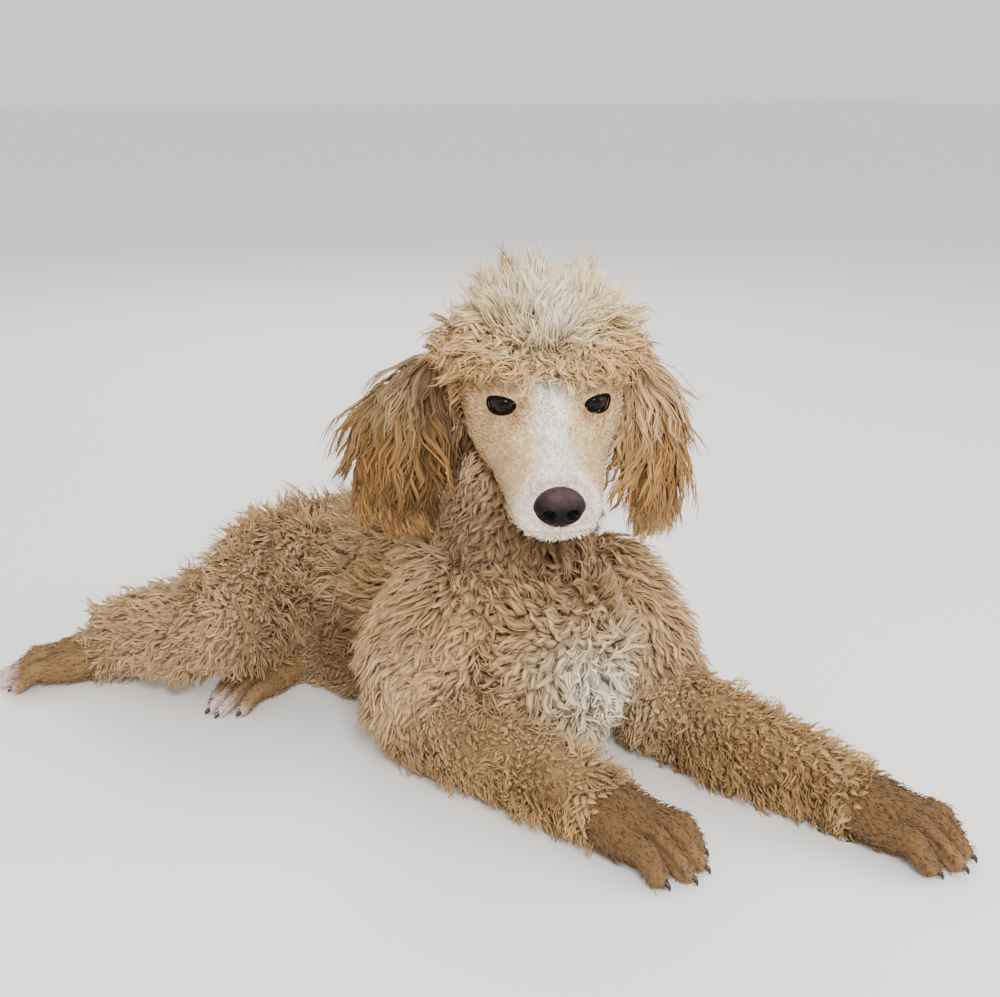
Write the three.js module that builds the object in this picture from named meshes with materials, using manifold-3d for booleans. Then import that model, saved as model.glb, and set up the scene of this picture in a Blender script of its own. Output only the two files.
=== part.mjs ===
// A standard poodle puppy lying down with its head up, at life size in millimetres.
// +Z is up and the floor is z = 0. The chest faces -Y, so the puppy's left is +X.
// The origin is on the floor under the breastbone. The hips are rolled onto the left side,
// so both hind legs lie out to the puppy's right, and both forelegs reach forward and to its left.
import * as THREE from "three";
import { mergeVertices } from "three/addons/utils/BufferGeometryUtils.js";
import Module from "manifold-3d";

const wasm = await Module();
wasm.setup();

// Clear space kept between two neighbouring solids
const GAP = 0.35;
const FLOOR = 0;
// How much of the coat's depth lies between the tips of the coat and the core under its clumps
const CORE_INSET = 0.55;
// Height and reach of a clump's two rings, as shares of its depth and radius, and its corners
const CLUMP_RINGS = [
  [-0.35, 1],
  [0.62, 0.72],
];
const CLUMP_ANGLES = [0, 60, 120, 180, 240, 300].map((angle) => THREE.MathUtils.degToRad(angle));
// A clump is left out where its tip is lower than this share of the coat's depth
const CLEAR_OF_FLOOR = 0.35;

// Each coated part: `path` is a row of stations [x, y, z, half width, half height] at the tips of
// the coat, `depth` is the length of the coat, `spacing` the distance between two clumps of curls,
// and `rests` tells that its underside lies on the floor.
const COATED = {
  torso: {
    path: [
      [7, -14, 69, 60, 77],
      [0, 28, 77, 72, 87],
      [-8, 88, 72, 70, 80],
      [-18, 150, 61, 66, 69],
      [-30, 205, 54, 60, 61],
      [-40, 240, 46, 46, 50],
    ],
    depth: 27,
    spacing: 60,
    rests: true,
  },
  neck: {
    path: [
      [0, 20, 120, 52, 50],
      [-2, 2, 160, 50, 50],
      [-6, -6, 200, 42, 44],
    ],
    depth: 22,
    spacing: 57,
  },
  upper_arm_left: {
    path: [
      [50, 2, 102, 36, 44],
      [66, -14, 72, 40, 44],
      [72, -26, 38, 40, 40],
    ],
    depth: 24,
    spacing: 47,
    rests: true,
  },
  upper_arm_right: {
    path: [
      [-44, 14, 106, 38, 44],
      [-58, 24, 70, 40, 42],
      [-60, 26, 34, 38, 36],
    ],
    depth: 24,
    spacing: 44,
    rests: true,
  },
  foreleg_left: {
    path: [
      [72, -34, 32, 35, 33],
      [87, -100, 28, 31, 30],
      [104, -150, 24, 26, 26],
    ],
    depth: 15,
    spacing: 47,
    rests: true,
  },
  foreleg_right: {
    path: [
      [-60, 20, 31, 34, 32],
      [-38, -40, 28, 30, 30],
      [-20, -92, 24, 26, 26],
    ],
    depth: 15,
    spacing: 46,
    rests: true,
  },
  thigh_right: {
    path: [
      [-50, 210, 68, 48, 48],
      [-94, 180, 66, 50, 52],
      [-130, 150, 58, 42, 46],
    ],
    depth: 26,
    spacing: 54,
    across: "y",
  },
  shank_right: {
    path: [
      [-134, 146, 55, 38, 40],
      [-160, 184, 44, 35, 39],
      [-186, 224, 30, 28, 31],
    ],
    depth: 18,
    spacing: 54,
  },
  thigh_left: {
    path: [
      [8, 200, 40, 36, 42],
      [-16, 140, 36, 34, 38],
      [-40, 92, 28, 28, 31],
    ],
    depth: 22,
    spacing: 48,
    rests: true,
  },
  shank_left: {
    path: [
      [-42, 88, 24, 26, 27],
      [-60, 128, 22, 23, 25],
      [-76, 156, 19, 20, 22],
    ],
    depth: 12,
    spacing: 38,
    rests: true,
  },
  tail_pom: {
    path: [
      [12, 304, 26, 20, 22],
      [34, 312, 26, 26, 27],
      [54, 314, 24, 19, 22],
    ],
    depth: 20,
    spacing: 40,
    across: "z",
    rests: true,
  },
};
const TAIL = [
  [-34, 254, 48, 13, 13],
  [-20, 278, 38, 10, 10],
  [4, 298, 28, 9, 9],
  [22, 306, 26, 8, 8],
];
// The wrist or hock end of each paw, the way its toes point in degrees from -Y towards the puppy's
// left, and its length, half width and half height
const PAWS = {
  forepaw_right: { root: [-17, -98, 22], heading: 21, length: 70, width: 23, height: 16 },
  forepaw_left: { root: [107, -158, 22], heading: 22, length: 72, width: 23, height: 16 },
  hindpaw_right: { root: [-188, 230, 25], heading: -105, length: 82, width: 19, height: 15 },
  hindpaw_left: { root: [-78, 164, 19], heading: -68, length: 84, width: 17, height: 13 },
};

const HEAD = { eyesAt: [-14, -45, 228], turn: -25, nod: 19 };
const EYE = { apart: 22.3, back: 3.8, up: 0, radius: 9.2, outward: 25, slant: 8 };
const LID = { thickness: 1.9, openWide: 7.9, openHigh: 4.6 };
const NOSE = { back: -61.5, up: -20, halfWidth: 12.6, depth: 8, halfHeight: 9.6 };
const MUZZLE_FRONT = -66.5;
const HEAD_BACK = 78;
// Distance behind the eyes, half width, top, bottom and widest height of the head there
const HEAD_SECTIONS = [
  [-63, 12, -15, -35.5, -26],
  [-60, 17, -12.5, -40.5, -27],
  [-54, 21.5, -11, -44.5, -28],
  [-42, 25, -9.5, -46.5, -29],
  [-28, 27, -8, -47.5, -28.5],
  [-15, 30, -5, -47, -26],
  [-6, 34, 8, -48, -20],
  [3, 38.5, 18, -49, -12],
  [14, 42, 27, -50, -6],
  [28, 45, 31, -50, -3],
  [42, 46, 35, -49, 0],
  [55, 42, 31, -45, 0],
  [65, 34, 24, -38, -1],
  [73, 22, 14, -28, -3],
];
const SQUARENESS = 0.88;
// Where the mouth runs: distance behind the eyes and degrees below the head's widest line
const MOUTH = [[-14, 31], [-30, 34], [-46, 38], [-59, 42]];
const MOUTH_FRONT = [0, -64.5, -35];

// Each ear's flap from its root down: stations as in COATED, and the way its width runs,
// from its front edge to its back edge
const EARS = {
  ear_right: {
    flap: [
      [-38, 13, 248, 9, 5],
      [-54, 20, 232, 17, 5],
      [-67, 24, 208, 24, 5],
      [-70, 25, 180, 25, 4.5],
      [-67, 24, 158, 16, 4],
    ],
    across: [-0.72, 0.69, 0],
  },
  ear_left: {
    flap: [
      [42, -36, 248, 9, 5],
      [50, -46, 232, 14, 5],
      [54, -52, 208, 18, 5],
      [54, -54, 180, 19, 4.5],
      [52, -53, 160, 14, 4],
    ],
    across: [0.86, 0.5, 0],
  },
};
const EAR_CUP = 5;
const EAR_LOCK = { width: 9, thickness: 3.6, arch: 0.26, reach: 0.5, lift: 7 };
const EAR_TIERS = [0.1, 0.42, 0.74];
const EAR_COLUMNS = [-0.75, 0, 0.75];

// The topknot: an egg-shaped core under its locks, and the egg that their tips reach. `lowest` and
// `brow` tell how far down the back of the egg and its front the locks start, from 1 at its top.
const TOPKNOT = {
  middle: [0, 42, 16],
  core: [40, 41, 32],
  tips: [50, 56, 53],
  locks: 37,
  width: 10.5,
  thickness: 4.5,
  arch: 0.5,
  lowest: -0.42,
  brow: -0.1,
  behindEars: 0.25,
};

const AXES = {
  x: new THREE.Vector3(1, 0, 0),
  y: new THREE.Vector3(0, 1, 0),
  z: new THREE.Vector3(0, 0, 1),
};
const degrees = THREE.MathUtils.degToRad;
const vector = (values) => new THREE.Vector3(...values);

// Repeatable random numbers from 0 to 1
function randomFrom(seed) {
  let state = seed;
  return () => {
    state = (Math.imul(state, 1664525) + 1013904223) >>> 0;
    return state / 2 ** 32;
  };
}

// Catmull-Rom value at place t, from 0 to 1, along a list of numbers
function between(values, t) {
  const last = values.length - 1;
  const i = Math.min(Math.floor(t * last), last - 1);
  const u = t * last - i;
  const [a, b, c, d] = [-1, 0, 1, 2].map((k) => values[Math.min(Math.max(i + k, 0), last)]);
  const bend = 2 * a - 5 * b + 4 * c - d;
  const twist = 3 * b - a - 3 * c + d;
  return b + 0.5 * u * (c - a + u * (bend + u * twist));
}

// The centre, half sizes and directions of a path's section at place t
function sectionAt(path, t, across) {
  const [x, y, z, wide, high] = path[0].map((_, k) => between(path.map((row) => row[k]), t));
  const centreAt = (place) => path[0].slice(0, 3).map((_, k) => between(path.map((row) => row[k]), place));
  const ahead = vector(centreAt(Math.min(t + 0.01, 1))).sub(vector(centreAt(Math.max(t - 0.01, 0)))).normalize();
  const side = across.clone().addScaledVector(ahead, -across.dot(ahead)).normalize();
  return { centre: new THREE.Vector3(x, y, z), wide, high, ahead, side, rise: ahead.clone().cross(side) };
}

// A point on a tube round a path. Place 0 to 1 runs along the path, -1 to 0 and 1 to 2 round its
// two ends. `inset` is the distance inside the tips of the coat, and a tube that rests on the floor
// keeps its full depth below its centre.
function tubePoint(path, place, angle, { across = AXES.x, inset = 0, rests = false, cup = 0 }) {
  const t = Math.min(Math.max(place, 0), 1);
  const { centre, wide, high, ahead, side, rise } = sectionAt(path, t, across);
  const round = (place - t) * (Math.PI / 2);
  const shrink = Math.cos(round);
  const tall = Math.sin(angle) * rise.z < 0 && rests ? high : high - inset;
  return centre
    .addScaledVector(ahead, Math.sin(round) * (Math.min(wide, high) - inset))
    .addScaledVector(side, (wide - inset) * shrink * Math.cos(angle))
    .addScaledVector(rise, shrink * (tall * Math.sin(angle) - cup * Math.cos(angle) ** 2));
}

// A closed surface through rings of equally many points, with a pole at each end
function closedRings(startPole, rings, endPole) {
  const sides = rings[0].length;
  const points = [startPole, ...rings.flat(), endPole];
  const last = points.length - 1;
  const index = [];
  const at = (ring, k) => 1 + ring * sides + (k % sides);
  for (let k = 0; k < sides; k++) {
    index.push(0, at(0, k + 1), at(0, k));
    for (let i = 0; i < rings.length - 1; i++) {
      index.push(at(i, k), at(i, k + 1), at(i + 1, k + 1));
      index.push(at(i, k), at(i + 1, k + 1), at(i + 1, k));
    }
    index.push(last, at(rings.length - 1, k), at(rings.length - 1, k + 1));
  }
  return new THREE.BufferGeometry().setFromPoints(points).setIndex(index);
}

// A closed tube along a path, `steps` rings to each stretch of it and `capRings` at each end
function tube(path, { sides = 12, steps = 2, capRings = 2, ...shape }) {
  const places = [];
  for (let k = capRings; k > 0; k--) places.push(-k / (capRings + 1));
  const count = (path.length - 1) * steps;
  for (let i = 0; i <= count; i++) places.push(i / count);
  for (let k = 1; k <= capRings; k++) places.push(1 + k / (capRings + 1));
  const ring = (place) =>
    Array.from({ length: sides }, (_, k) => tubePoint(path, place, (2 * Math.PI * k) / sides, shape));
  return closedRings(tubePoint(path, -1, 0, shape), places.map(ring), tubePoint(path, 2, 0, shape));
}

function ball([x, y, z], [a, b, c], segments = 10) {
  return new THREE.SphereGeometry(1, segments, Math.ceil(segments * 0.6)).scale(a, b, c).translate(x, y, z);
}

// A closed geometry as a solid that can be joined and cut
function solid(geometry) {
  const bare = new THREE.BufferGeometry().setAttribute("position", geometry.getAttribute("position"));
  bare.setIndex(geometry.index);
  const merged = mergeVertices(bare, 1e-4);
  const vertProperties = new Float32Array(merged.attributes.position.array);
  const triVerts = new Uint32Array(merged.index.array);
  return new wasm.Manifold(new wasm.Mesh({ numProp: 3, vertProperties, triVerts }));
}

function union(geometries) {
  return geometries.map(solid).reduce((a, b) => a.add(b));
}

function geometryOf(manifold) {
  const { vertProperties, triVerts } = manifold.getMesh();
  return new THREE.BufferGeometry()
    .setAttribute("position", new THREE.BufferAttribute(vertProperties, 3))
    .setIndex(new THREE.BufferAttribute(triVerts, 1));
}

// A flat lock of hair that starts along `out`, bends over and tapers to its tip
function lock(root, out, tip, { width, thickness, arch }, grow) {
  const sink = root.clone().addScaledVector(out, -6);
  const bend = root.clone().addScaledVector(out, root.distanceTo(tip) * arch);
  const curve = new THREE.QuadraticBezierCurve3(sink, bend, tip);
  const taper = [0.8, 1, 0.75, 0.12];
  const path = taper.map((size, i) => {
    const point = curve.getPoint(i / (taper.length - 1));
    return [...point.toArray(), width * size, thickness * size];
  });
  const across = out.clone().cross(tip.clone().sub(root)).normalize();
  if (across.lengthSq() < 0.5) across.copy(AXES.x);
  return tube(path, { sides: 4, steps: 1, capRings: 0, across, inset: -grow });
}

// A rounded clump of curls that stands on the core and leans along the lie of the coat
function clump(tip, normal, lie, { radius, depth }, grow) {
  const side = lie.clone().cross(normal).normalize();
  const along = normal.clone().cross(side);
  const pointAt = (height, reach, angle) => {
    const lean = Math.max(height, 0) ** 2 * radius * 0.3;
    return tip
      .clone()
      .addScaledVector(normal, height * (depth + grow) - depth)
      .addScaledVector(side, reach * (radius + grow) * Math.cos(angle))
      .addScaledVector(along, reach * (radius + grow) * Math.sin(angle) + lean);
  };
  const ring = ([height, reach]) => CLUMP_ANGLES.map((angle) => pointAt(height, reach, angle));
  return closedRings(pointAt(-1, 0, 0), CLUMP_RINGS.map(ring), pointAt(1, 0, 0));
}

// Whether a clump of one coated part would stand inside another part, or crowd an earlier one
function isCovered(point, ownName) {
  const names = Object.keys(COATED);
  return names.some((name, order) => {
    if (name === ownName) return false;
    const { path, across = "x" } = COATED[name];
    const share = order < names.indexOf(ownName) ? 1.08 : 0.92;
    return [0, 0.2, 0.4, 0.6, 0.8, 1].some((t) => {
      const { centre, wide, high } = sectionAt(path, t, AXES[across]);
      return point.distanceTo(centre) < Math.min(wide, high) * share;
    });
  });
}

// The places on a coated part where its clumps stand: rings along the path and round its two ends,
// each ring turned by half a clump from the one before
function clumpPlaces(name) {
  const { path, depth, spacing, across = "x", rests = false } = COATED[name];
  const random = randomFrom(name.length * 977 + Math.round(spacing * 31));
  const shape = { across: AXES[across], rests };
  const length = path.slice(1).reduce((sum, row, i) => sum + vector(row).distanceTo(vector(path[i])), 0);
  const endArc = (t) => {
    const { wide, high } = sectionAt(path, t, AXES[across]);
    return (Math.PI / 2) * Math.min(wide, high);
  };
  const rows = Math.round((length + 0.9 * (endArc(0) + endArc(1))) / (spacing * 0.87));
  const found = [];
  for (let row = 0; row < rows; row++) {
    const walked = (row + 0.5) * spacing * 0.87 - 0.9 * endArc(0);
    const past = walked < 0 ? walked / endArc(0) : 1 + (walked - length) / endArc(1);
    const place = walked < 0 || walked > length ? past : walked / length;
    const t = Math.min(Math.max(place, 0), 1);
    const { wide, high } = sectionAt(path, t, AXES[across]);
    const girth = Math.PI * (wide + high) * Math.cos((place - t) * (Math.PI / 2));
    const count = Math.max(Math.round(girth / spacing), 1);
    for (let k = 0; k < count; k++) {
      const angle = (2 * Math.PI * (k + (row % 2) / 2 + 0.2 * (random() - 0.5))) / count;
      const size = 0.94 + 0.12 * random();
      const tip = tubePoint(path, place, angle, shape);
      if (tip.z < FLOOR + depth * CLEAR_OF_FLOOR || isCovered(tip, name)) continue;
      const along = tubePoint(path, place + 0.02, angle, shape).sub(tip);
      const around = tubePoint(path, place, angle + 0.02, shape).sub(tip);
      const normal = around.cross(along).normalize();
      const lie = along.normalize().add(new THREE.Vector3(0, 0, -0.6)).normalize();
      found.push({ tip, normal, lie, size });
    }
  }
  return found;
}

// A coated part: a core half way down the coat, and clumps from it out to the tips
function coated(name) {
  const { path, depth, spacing, across = "x", rests = false } = COATED[name];
  const places = clumpPlaces(name);
  return (grow) => {
    const core = tube(path, { sides: 8, steps: 1, capRings: 1, across: AXES[across], rests, inset: depth * CORE_INSET - grow });
    const clumps = places.map(({ tip, normal, lie, size }) =>
      clump(tip, normal, lie, { radius: spacing * 0.52 * size, depth: depth * 0.68 * size }, grow),
    );
    return [core, ...clumps];
  };
}

// The head's own frame: the middle of the eyes is its origin, -Y is forward and +X the puppy's left.
const headPose = new THREE.Matrix4()
  .makeTranslation(...HEAD.eyesAt)
  .multiply(new THREE.Matrix4().makeRotationZ(degrees(HEAD.turn)))
  .multiply(new THREE.Matrix4().makeRotationX(degrees(HEAD.nod)));
const inHead = (geometries) => geometries.map((geometry) => geometry.applyMatrix4(headPose));

// A point on the head, at a distance behind the eyes and an angle up from the puppy's left
function headPoint(back, angle, grow = 0) {
  const backs = HEAD_SECTIONS.map((section) => section[0]);
  let [low, high] = [0, 1];
  for (let halving = 0; halving < 20; halving++) {
    const t = (low + high) / 2;
    if (between(backs, t) < back) low = t;
    else high = t;
  }
  const [wide, top, bottom, middle] = [1, 2, 3, 4].map((k) => between(HEAD_SECTIONS.map((s) => s[k]), low));
  const square = (value) => Math.sign(value) * Math.abs(value) ** SQUARENESS;
  const rise = square(Math.sin(angle));
  const reach = rise > 0 ? top - middle : middle - bottom;
  return new THREE.Vector3((wide + grow) * square(Math.cos(angle)), back, middle + (reach + grow) * rise);
}

// Muzzle, cheeks, brow and skull in one, without eyes or nose leather
function skull(grow) {
  const [sides, ringCount] = [18, 13];
  const first = HEAD_SECTIONS[0][0];
  const last = HEAD_SECTIONS[HEAD_SECTIONS.length - 1][0];
  const rings = Array.from({ length: ringCount + 1 }, (_, i) => {
    const back = first + ((last - first) * i) / ringCount;
    return Array.from({ length: sides }, (_, k) => headPoint(back, (-2 * Math.PI * k) / sides, grow));
  });
  const front = new THREE.Vector3(0, MUZZLE_FRONT - grow, -24);
  return closedRings(front, rings, new THREE.Vector3(0, HEAD_BACK + grow, -4));
}

function eyeBall(side, grow) {
  const radius = EYE.radius + grow;
  return ball([side * EYE.apart, EYE.back, EYE.up], [radius, radius, radius]);
}

// The two lids as a shell over the eyeball
function lids(side) {
  const radius = EYE.radius + LID.thickness;
  return ball([side * EYE.apart, EYE.back, EYE.up], [radius, radius, radius]);
}

// The almond opening between the lids, lower at its inner corner
function lidOpening(side) {
  const opening = ball([0, -EYE.radius, 0], [LID.openWide, EYE.radius * 0.7, LID.openHigh]);
  opening.rotateY(degrees(side * -EYE.slant));
  opening.rotateZ(degrees(side * EYE.outward));
  return opening.translate(side * EYE.apart, EYE.back, EYE.up);
}

// A tube along the mouth, from one corner round the front to the other, raised by `lift`
function alongMouth(lift, wide, high) {
  const onSide = (side) =>
    MOUTH.map(([back, below]) => {
      const point = headPoint(back, degrees(-below));
      return [side * point.x, point.y, point.z + lift];
    });
  const front = [MOUTH_FRONT[0], MOUTH_FRONT[1], MOUTH_FRONT[2] + lift];
  const route = [...onSide(1), front, ...onSide(-1).reverse()];
  const path = route.map((point) => [...point, wide, high]);
  return tube(path, { sides: 4, steps: 1, capRings: 0, across: AXES.z });
}

function noseLeather(grow) {
  const sizes = [NOSE.halfWidth, NOSE.depth, NOSE.halfHeight].map((size) => size + grow);
  return ball([0, NOSE.back, NOSE.up], sizes);
}

function nostril(side) {
  return ball([0, 0, 0], [2.6, 5, 3], 8)
    .rotateZ(degrees(side * 28))
    .translate(side * 5.6, NOSE.back - NOSE.depth + 1.2, NOSE.up - 0.8);
}

// One paw: the foot's back, four toes that arch down to the floor, and a claw at each toe
function paw({ root, heading, length, width, height }, grow) {
  const drop = -root[2];
  const foot = [
    [0, 4, 0, width * 0.82, height],
    [0, -length * 0.3, drop + height, width * 0.94, height],
    [0, -length * 0.56, drop + height - 3, width * 0.92, height * 0.82],
  ];
  const pieces = [tube(foot, { sides: 8, steps: 1, capRings: 1, inset: -grow })];
  for (const place of [-1.5, -0.5, 0.5, 1.5]) {
    const reach = length * (Math.abs(place) < 1 ? 0.98 : 0.86);
    const spread = place * width * 0.52;
    const toe = width * 0.27;
    const knuckle = -length * 0.42 - (reach - length * 0.42) * 0.45;
    const toePath = [
      [spread * 0.85, -length * 0.42, drop + height + 1, toe, toe],
      [spread, knuckle, drop + height, toe, toe * 1.06],
      [spread * 1.04, -reach + toe * 1.1, drop + toe, toe * 0.96, toe],
    ];
    pieces.push(tube(toePath, { sides: 6, steps: 1, capRings: 1, inset: -grow }));
    const claw = [
      [spread * 1.04, -reach + toe * 0.6, drop + toe + 2, 2.4, 2.8],
      [spread * 1.05, -reach - 2.5, drop + toe, 1.7, 2.2],
      [spread * 1.05, -reach - 6, drop + 2.6, 0.6, 0.7],
    ];
    pieces.push(tube(claw, { sides: 4, steps: 1, capRings: 0, inset: -grow }));
  }
  const turn = new THREE.Matrix4().makeRotationZ(degrees(heading)).setPosition(...root);
  return pieces.map((piece) => piece.applyMatrix4(turn));
}

// One ear: a cupped flap, and wavy locks in tiers over its outer face, past its edges and its end
function ear({ flap, across }) {
  const side = vector(across).normalize();
  const random = randomFrom(Math.round(flap[2][0] * 13 + 4000));
  const pointOn = (t, reach, lift) => {
    const { centre, wide, ahead, side: flat, rise } = sectionAt(flap, Math.min(t, 1), side);
    const beyond = Math.max(t - 1, 0) * 95;
    const outward = rise.clone().multiplyScalar(Math.sign(rise.x * flap[2][0]));
    const point = centre.addScaledVector(flat, reach * wide).addScaledVector(ahead, beyond);
    return { point: point.addScaledVector(outward, lift), outward };
  };
  const strands = [];
  for (const tier of EAR_TIERS) {
    for (const reach of EAR_COLUMNS) {
      const t = tier + (random() - 0.5) * 0.08;
      const { point, outward } = pointOn(t, reach, 1);
      const fan = 1 + 0.22 * t + (random() - 0.5) * 0.1;
      const tip = pointOn(t + EAR_LOCK.reach * (0.9 + 0.3 * random()), reach * fan, EAR_LOCK.lift * random());
      strands.push({ point, outward, tip: tip.point });
    }
  }
  return (grow) => [
    tube(flap, { sides: 6, steps: 1, across: side, cup: EAR_CUP * Math.sign(flap[2][0]), inset: -grow }),
    ...strands.map(({ point, outward, tip }) => lock(point, outward, tip, EAR_LOCK, grow)),
  ];
}

// The hair on top of the skull: upright locks on the crown, and drooping ones over the brow, the
// sides and the back of the head. None of them starts on the face, below `brow`.
function topknot() {
  const { middle, core, tips, locks, lowest, brow, behindEars } = TOPKNOT;
  const random = randomFrom(77);
  const centre = vector(middle);
  const onEgg = (way, sizes) => way.clone().multiply(vector(sizes)).add(centre);
  const golden = Math.PI * (3 - Math.sqrt(5));
  const ways = Array.from({ length: locks }, (_, i) => {
    const up = 1 - ((1 - lowest) * (i + 0.5)) / locks;
    const flat = Math.sqrt(1 - up * up);
    return new THREE.Vector3(flat * Math.cos(i * golden), flat * Math.sin(i * golden), up);
  });
  const clearOfFace = ways.filter((way) => way.y > behindEars || way.z > brow);
  const strands = clearOfFace.map((way) => {
    const up = way.z;
    const droop = up > 0.55 ? 0.1 : -0.3;
    const jitter = new THREE.Vector3(random() - 0.5, random() - 0.5, droop + 0.3 * (random() - 0.5));
    const tipWay = way.clone().addScaledVector(jitter, 0.55).normalize();
    const reach = 0.94 + 0.08 * random();
    return { root: onEgg(way, core), way, tip: onEgg(tipWay.multiplyScalar(reach), tips) };
  });
  return (grow) => {
    const cap = ball(middle, core.map((size) => size + grow), 12);
    return inHead([cap, ...strands.map(({ root, way, tip }) => lock(root, way, tip, TOPKNOT, grow))]);
  };
}

const CURLS = { color: 0xb08a5c, roughness: 0.95 };
const SHORT_FUR = { color: 0xe0c8a0, roughness: 0.85 };
const PALE_HAIR = { color: 0xe6d6b4, roughness: 0.95 };
const EAR_HAIR = { color: 0xb8905c, roughness: 0.95 };
const PAW_FUR = { color: 0xa07c54, roughness: 0.85 };
const EYE_GLOSS = { color: 0x1c1210, roughness: 0.08 };
const LEATHER = { color: 0x3a2c30, roughness: 0.5 };

// Every part in the order in which it takes up room: a later part is cut back from all earlier ones.
const PARTS = [
  { name: "eye_left", look: EYE_GLOSS, form: (grow) => inHead([eyeBall(1, grow)]) },
  { name: "eye_right", look: EYE_GLOSS, form: (grow) => inHead([eyeBall(-1, grow)]) },
  {
    name: "nose",
    look: LEATHER,
    form: (grow) => inHead([noseLeather(grow)]),
    cut: inHead([nostril(1), nostril(-1)]),
  },
  {
    name: "head",
    look: SHORT_FUR,
    form: (grow) => inHead([skull(grow), lids(1), lids(-1), alongMouth(2.6, 2.2, 2.4), alongMouth(-2.8, 2, 2.2)]),
    cut: inHead([alongMouth(0, 1, 3.6), lidOpening(1), lidOpening(-1)]),
  },
  ...Object.entries(PAWS).map(([name, sizes]) => ({ name, look: PAW_FUR, form: (grow) => paw(sizes, grow) })),
  ...Object.entries(EARS).map(([name, sizes]) => ({ name, look: EAR_HAIR, form: ear(sizes) })),
  { name: "topknot", look: PALE_HAIR, form: topknot() },
  ...Object.keys(COATED).map((name) => ({ name, look: CURLS, form: coated(name) })),
  { name: "tail", look: SHORT_FUR, form: (grow) => [tube(TAIL, { across: AXES.z, inset: -grow })] },
];

// The largest closed piece of a solid
function largest(manifold) {
  return manifold.decompose().reduce((a, b) => (b.volume() > a.volume() ? b : a));
}

const puppy = new THREE.Group();
const placed = [];
for (const { name, look, form, cut = [] } of PARTS) {
  let body = union(form(0));
  for (const geometry of cut) body = body.subtract(solid(geometry));
  for (const room of placed) body = body.subtract(room);
  body = body.trimByPlane([0, 0, 1], FLOOR);
  placed.push(union(form(GAP)));
  const mesh = new THREE.Mesh(geometryOf(largest(body)), new THREE.MeshStandardMaterial(look));
  mesh.name = name;
  puppy.add(mesh);
}

export default puppy;
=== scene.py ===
import math

import bmesh
import bpy
import numpy as np
from mathutils import Matrix, Vector, kdtree


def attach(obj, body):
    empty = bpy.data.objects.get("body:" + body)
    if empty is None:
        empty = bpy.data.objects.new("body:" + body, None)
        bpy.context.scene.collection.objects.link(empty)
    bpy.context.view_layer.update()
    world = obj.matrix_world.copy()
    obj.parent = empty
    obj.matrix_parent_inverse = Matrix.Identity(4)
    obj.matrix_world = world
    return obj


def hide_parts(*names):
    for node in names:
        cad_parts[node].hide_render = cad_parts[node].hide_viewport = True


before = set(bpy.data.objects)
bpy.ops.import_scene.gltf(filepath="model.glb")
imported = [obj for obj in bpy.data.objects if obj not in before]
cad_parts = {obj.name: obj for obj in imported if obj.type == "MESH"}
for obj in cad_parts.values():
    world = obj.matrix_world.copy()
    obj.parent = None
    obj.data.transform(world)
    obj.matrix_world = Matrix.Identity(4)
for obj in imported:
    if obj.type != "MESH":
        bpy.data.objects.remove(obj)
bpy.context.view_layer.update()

# The room: a plain pale floor and soft lamps, seen from the photographer's place, a little above
# the puppy and to its right. Neither the floor nor the lamps belong to the puppy.
VIEW_FROM = (-0.353, -0.581, 0.382)
VIEW_DOWN, VIEW_TURN = 18, -30
LENS_MM, SENSOR_MM = 45, 36
FLOOR_COLOUR = (0.92, 0.91, 0.89, 1)
FLOOR_SIZE = 40
SKY_COLOUR, SKY_STRENGTH = (1.0, 0.975, 0.94, 1), 1.05
# Each lamp's place, its size in metres and its power in watts
LAMPS = {
    "window_lamp": ((-0.52, -1.21, 1.0), 0.45, 28),
    "fill_lamp": ((1.3, -1.1, 1.0), 1.4, 17),
    "back_lamp": ((0.5, 1.5, 1.4), 1.0, 18),
}
LAMPS_AIM = Vector((0.0, 0.05, 0.12))
MM, MM_IN_METRE = 0.001, 1000

view_data = bpy.data.cameras.new("photo_view")
view_data.lens = LENS_MM
view_data.sensor_width = SENSOR_MM
view = bpy.data.objects.new("photo_view", view_data)
view.location = VIEW_FROM
view.rotation_euler = (math.radians(90 - VIEW_DOWN), 0, math.radians(VIEW_TURN))
bpy.context.scene.collection.objects.link(view)
bpy.context.scene.camera = view


def new_material(name, roughness, specular=0.3):
    """A new material, its shader and its node tree, ready for colour and bump."""
    material = bpy.data.materials.new(name)
    material.use_nodes = True
    shader = material.node_tree.nodes["Principled BSDF"]
    shader.inputs["Roughness"].default_value = roughness
    shader.inputs["Specular IOR Level"].default_value = specular
    return material, shader, material.node_tree


def object_noise(tree, scale, detail=3.0):
    """Noise that is fixed to the piece itself."""
    place = tree.nodes.new("ShaderNodeTexCoord")
    noise = tree.nodes.new("ShaderNodeTexNoise")
    noise.inputs["Scale"].default_value = scale
    noise.inputs["Detail"].default_value = detail
    tree.links.new(place.outputs["Object"], noise.inputs["Vector"])
    return noise


def add_bump(tree, shader, height, strength, distance):
    """Lets a node's output raise the surface a little, by `distance` metres at most."""
    bump = tree.nodes.new("ShaderNodeBump")
    bump.inputs["Strength"].default_value = strength
    bump.inputs["Distance"].default_value = distance
    tree.links.new(height, bump.inputs["Height"])
    tree.links.new(bump.outputs["Normal"], shader.inputs["Normal"])


def finish_piece(bm, name, material):
    """Turns a worked mesh in millimetres into a piece of the puppy, in metres."""
    bmesh.ops.scale(bm, vec=(MM, MM, MM), verts=bm.verts)
    mesh = bpy.data.meshes.new(name)
    bm.to_mesh(mesh)
    bm.free()
    mesh.polygons.foreach_set("use_smooth", np.full(len(mesh.polygons), True))
    mesh.materials.append(material)
    piece = bpy.data.objects.new(name, mesh)
    bpy.context.scene.collection.objects.link(piece)
    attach(piece, "root")
    return piece


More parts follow.
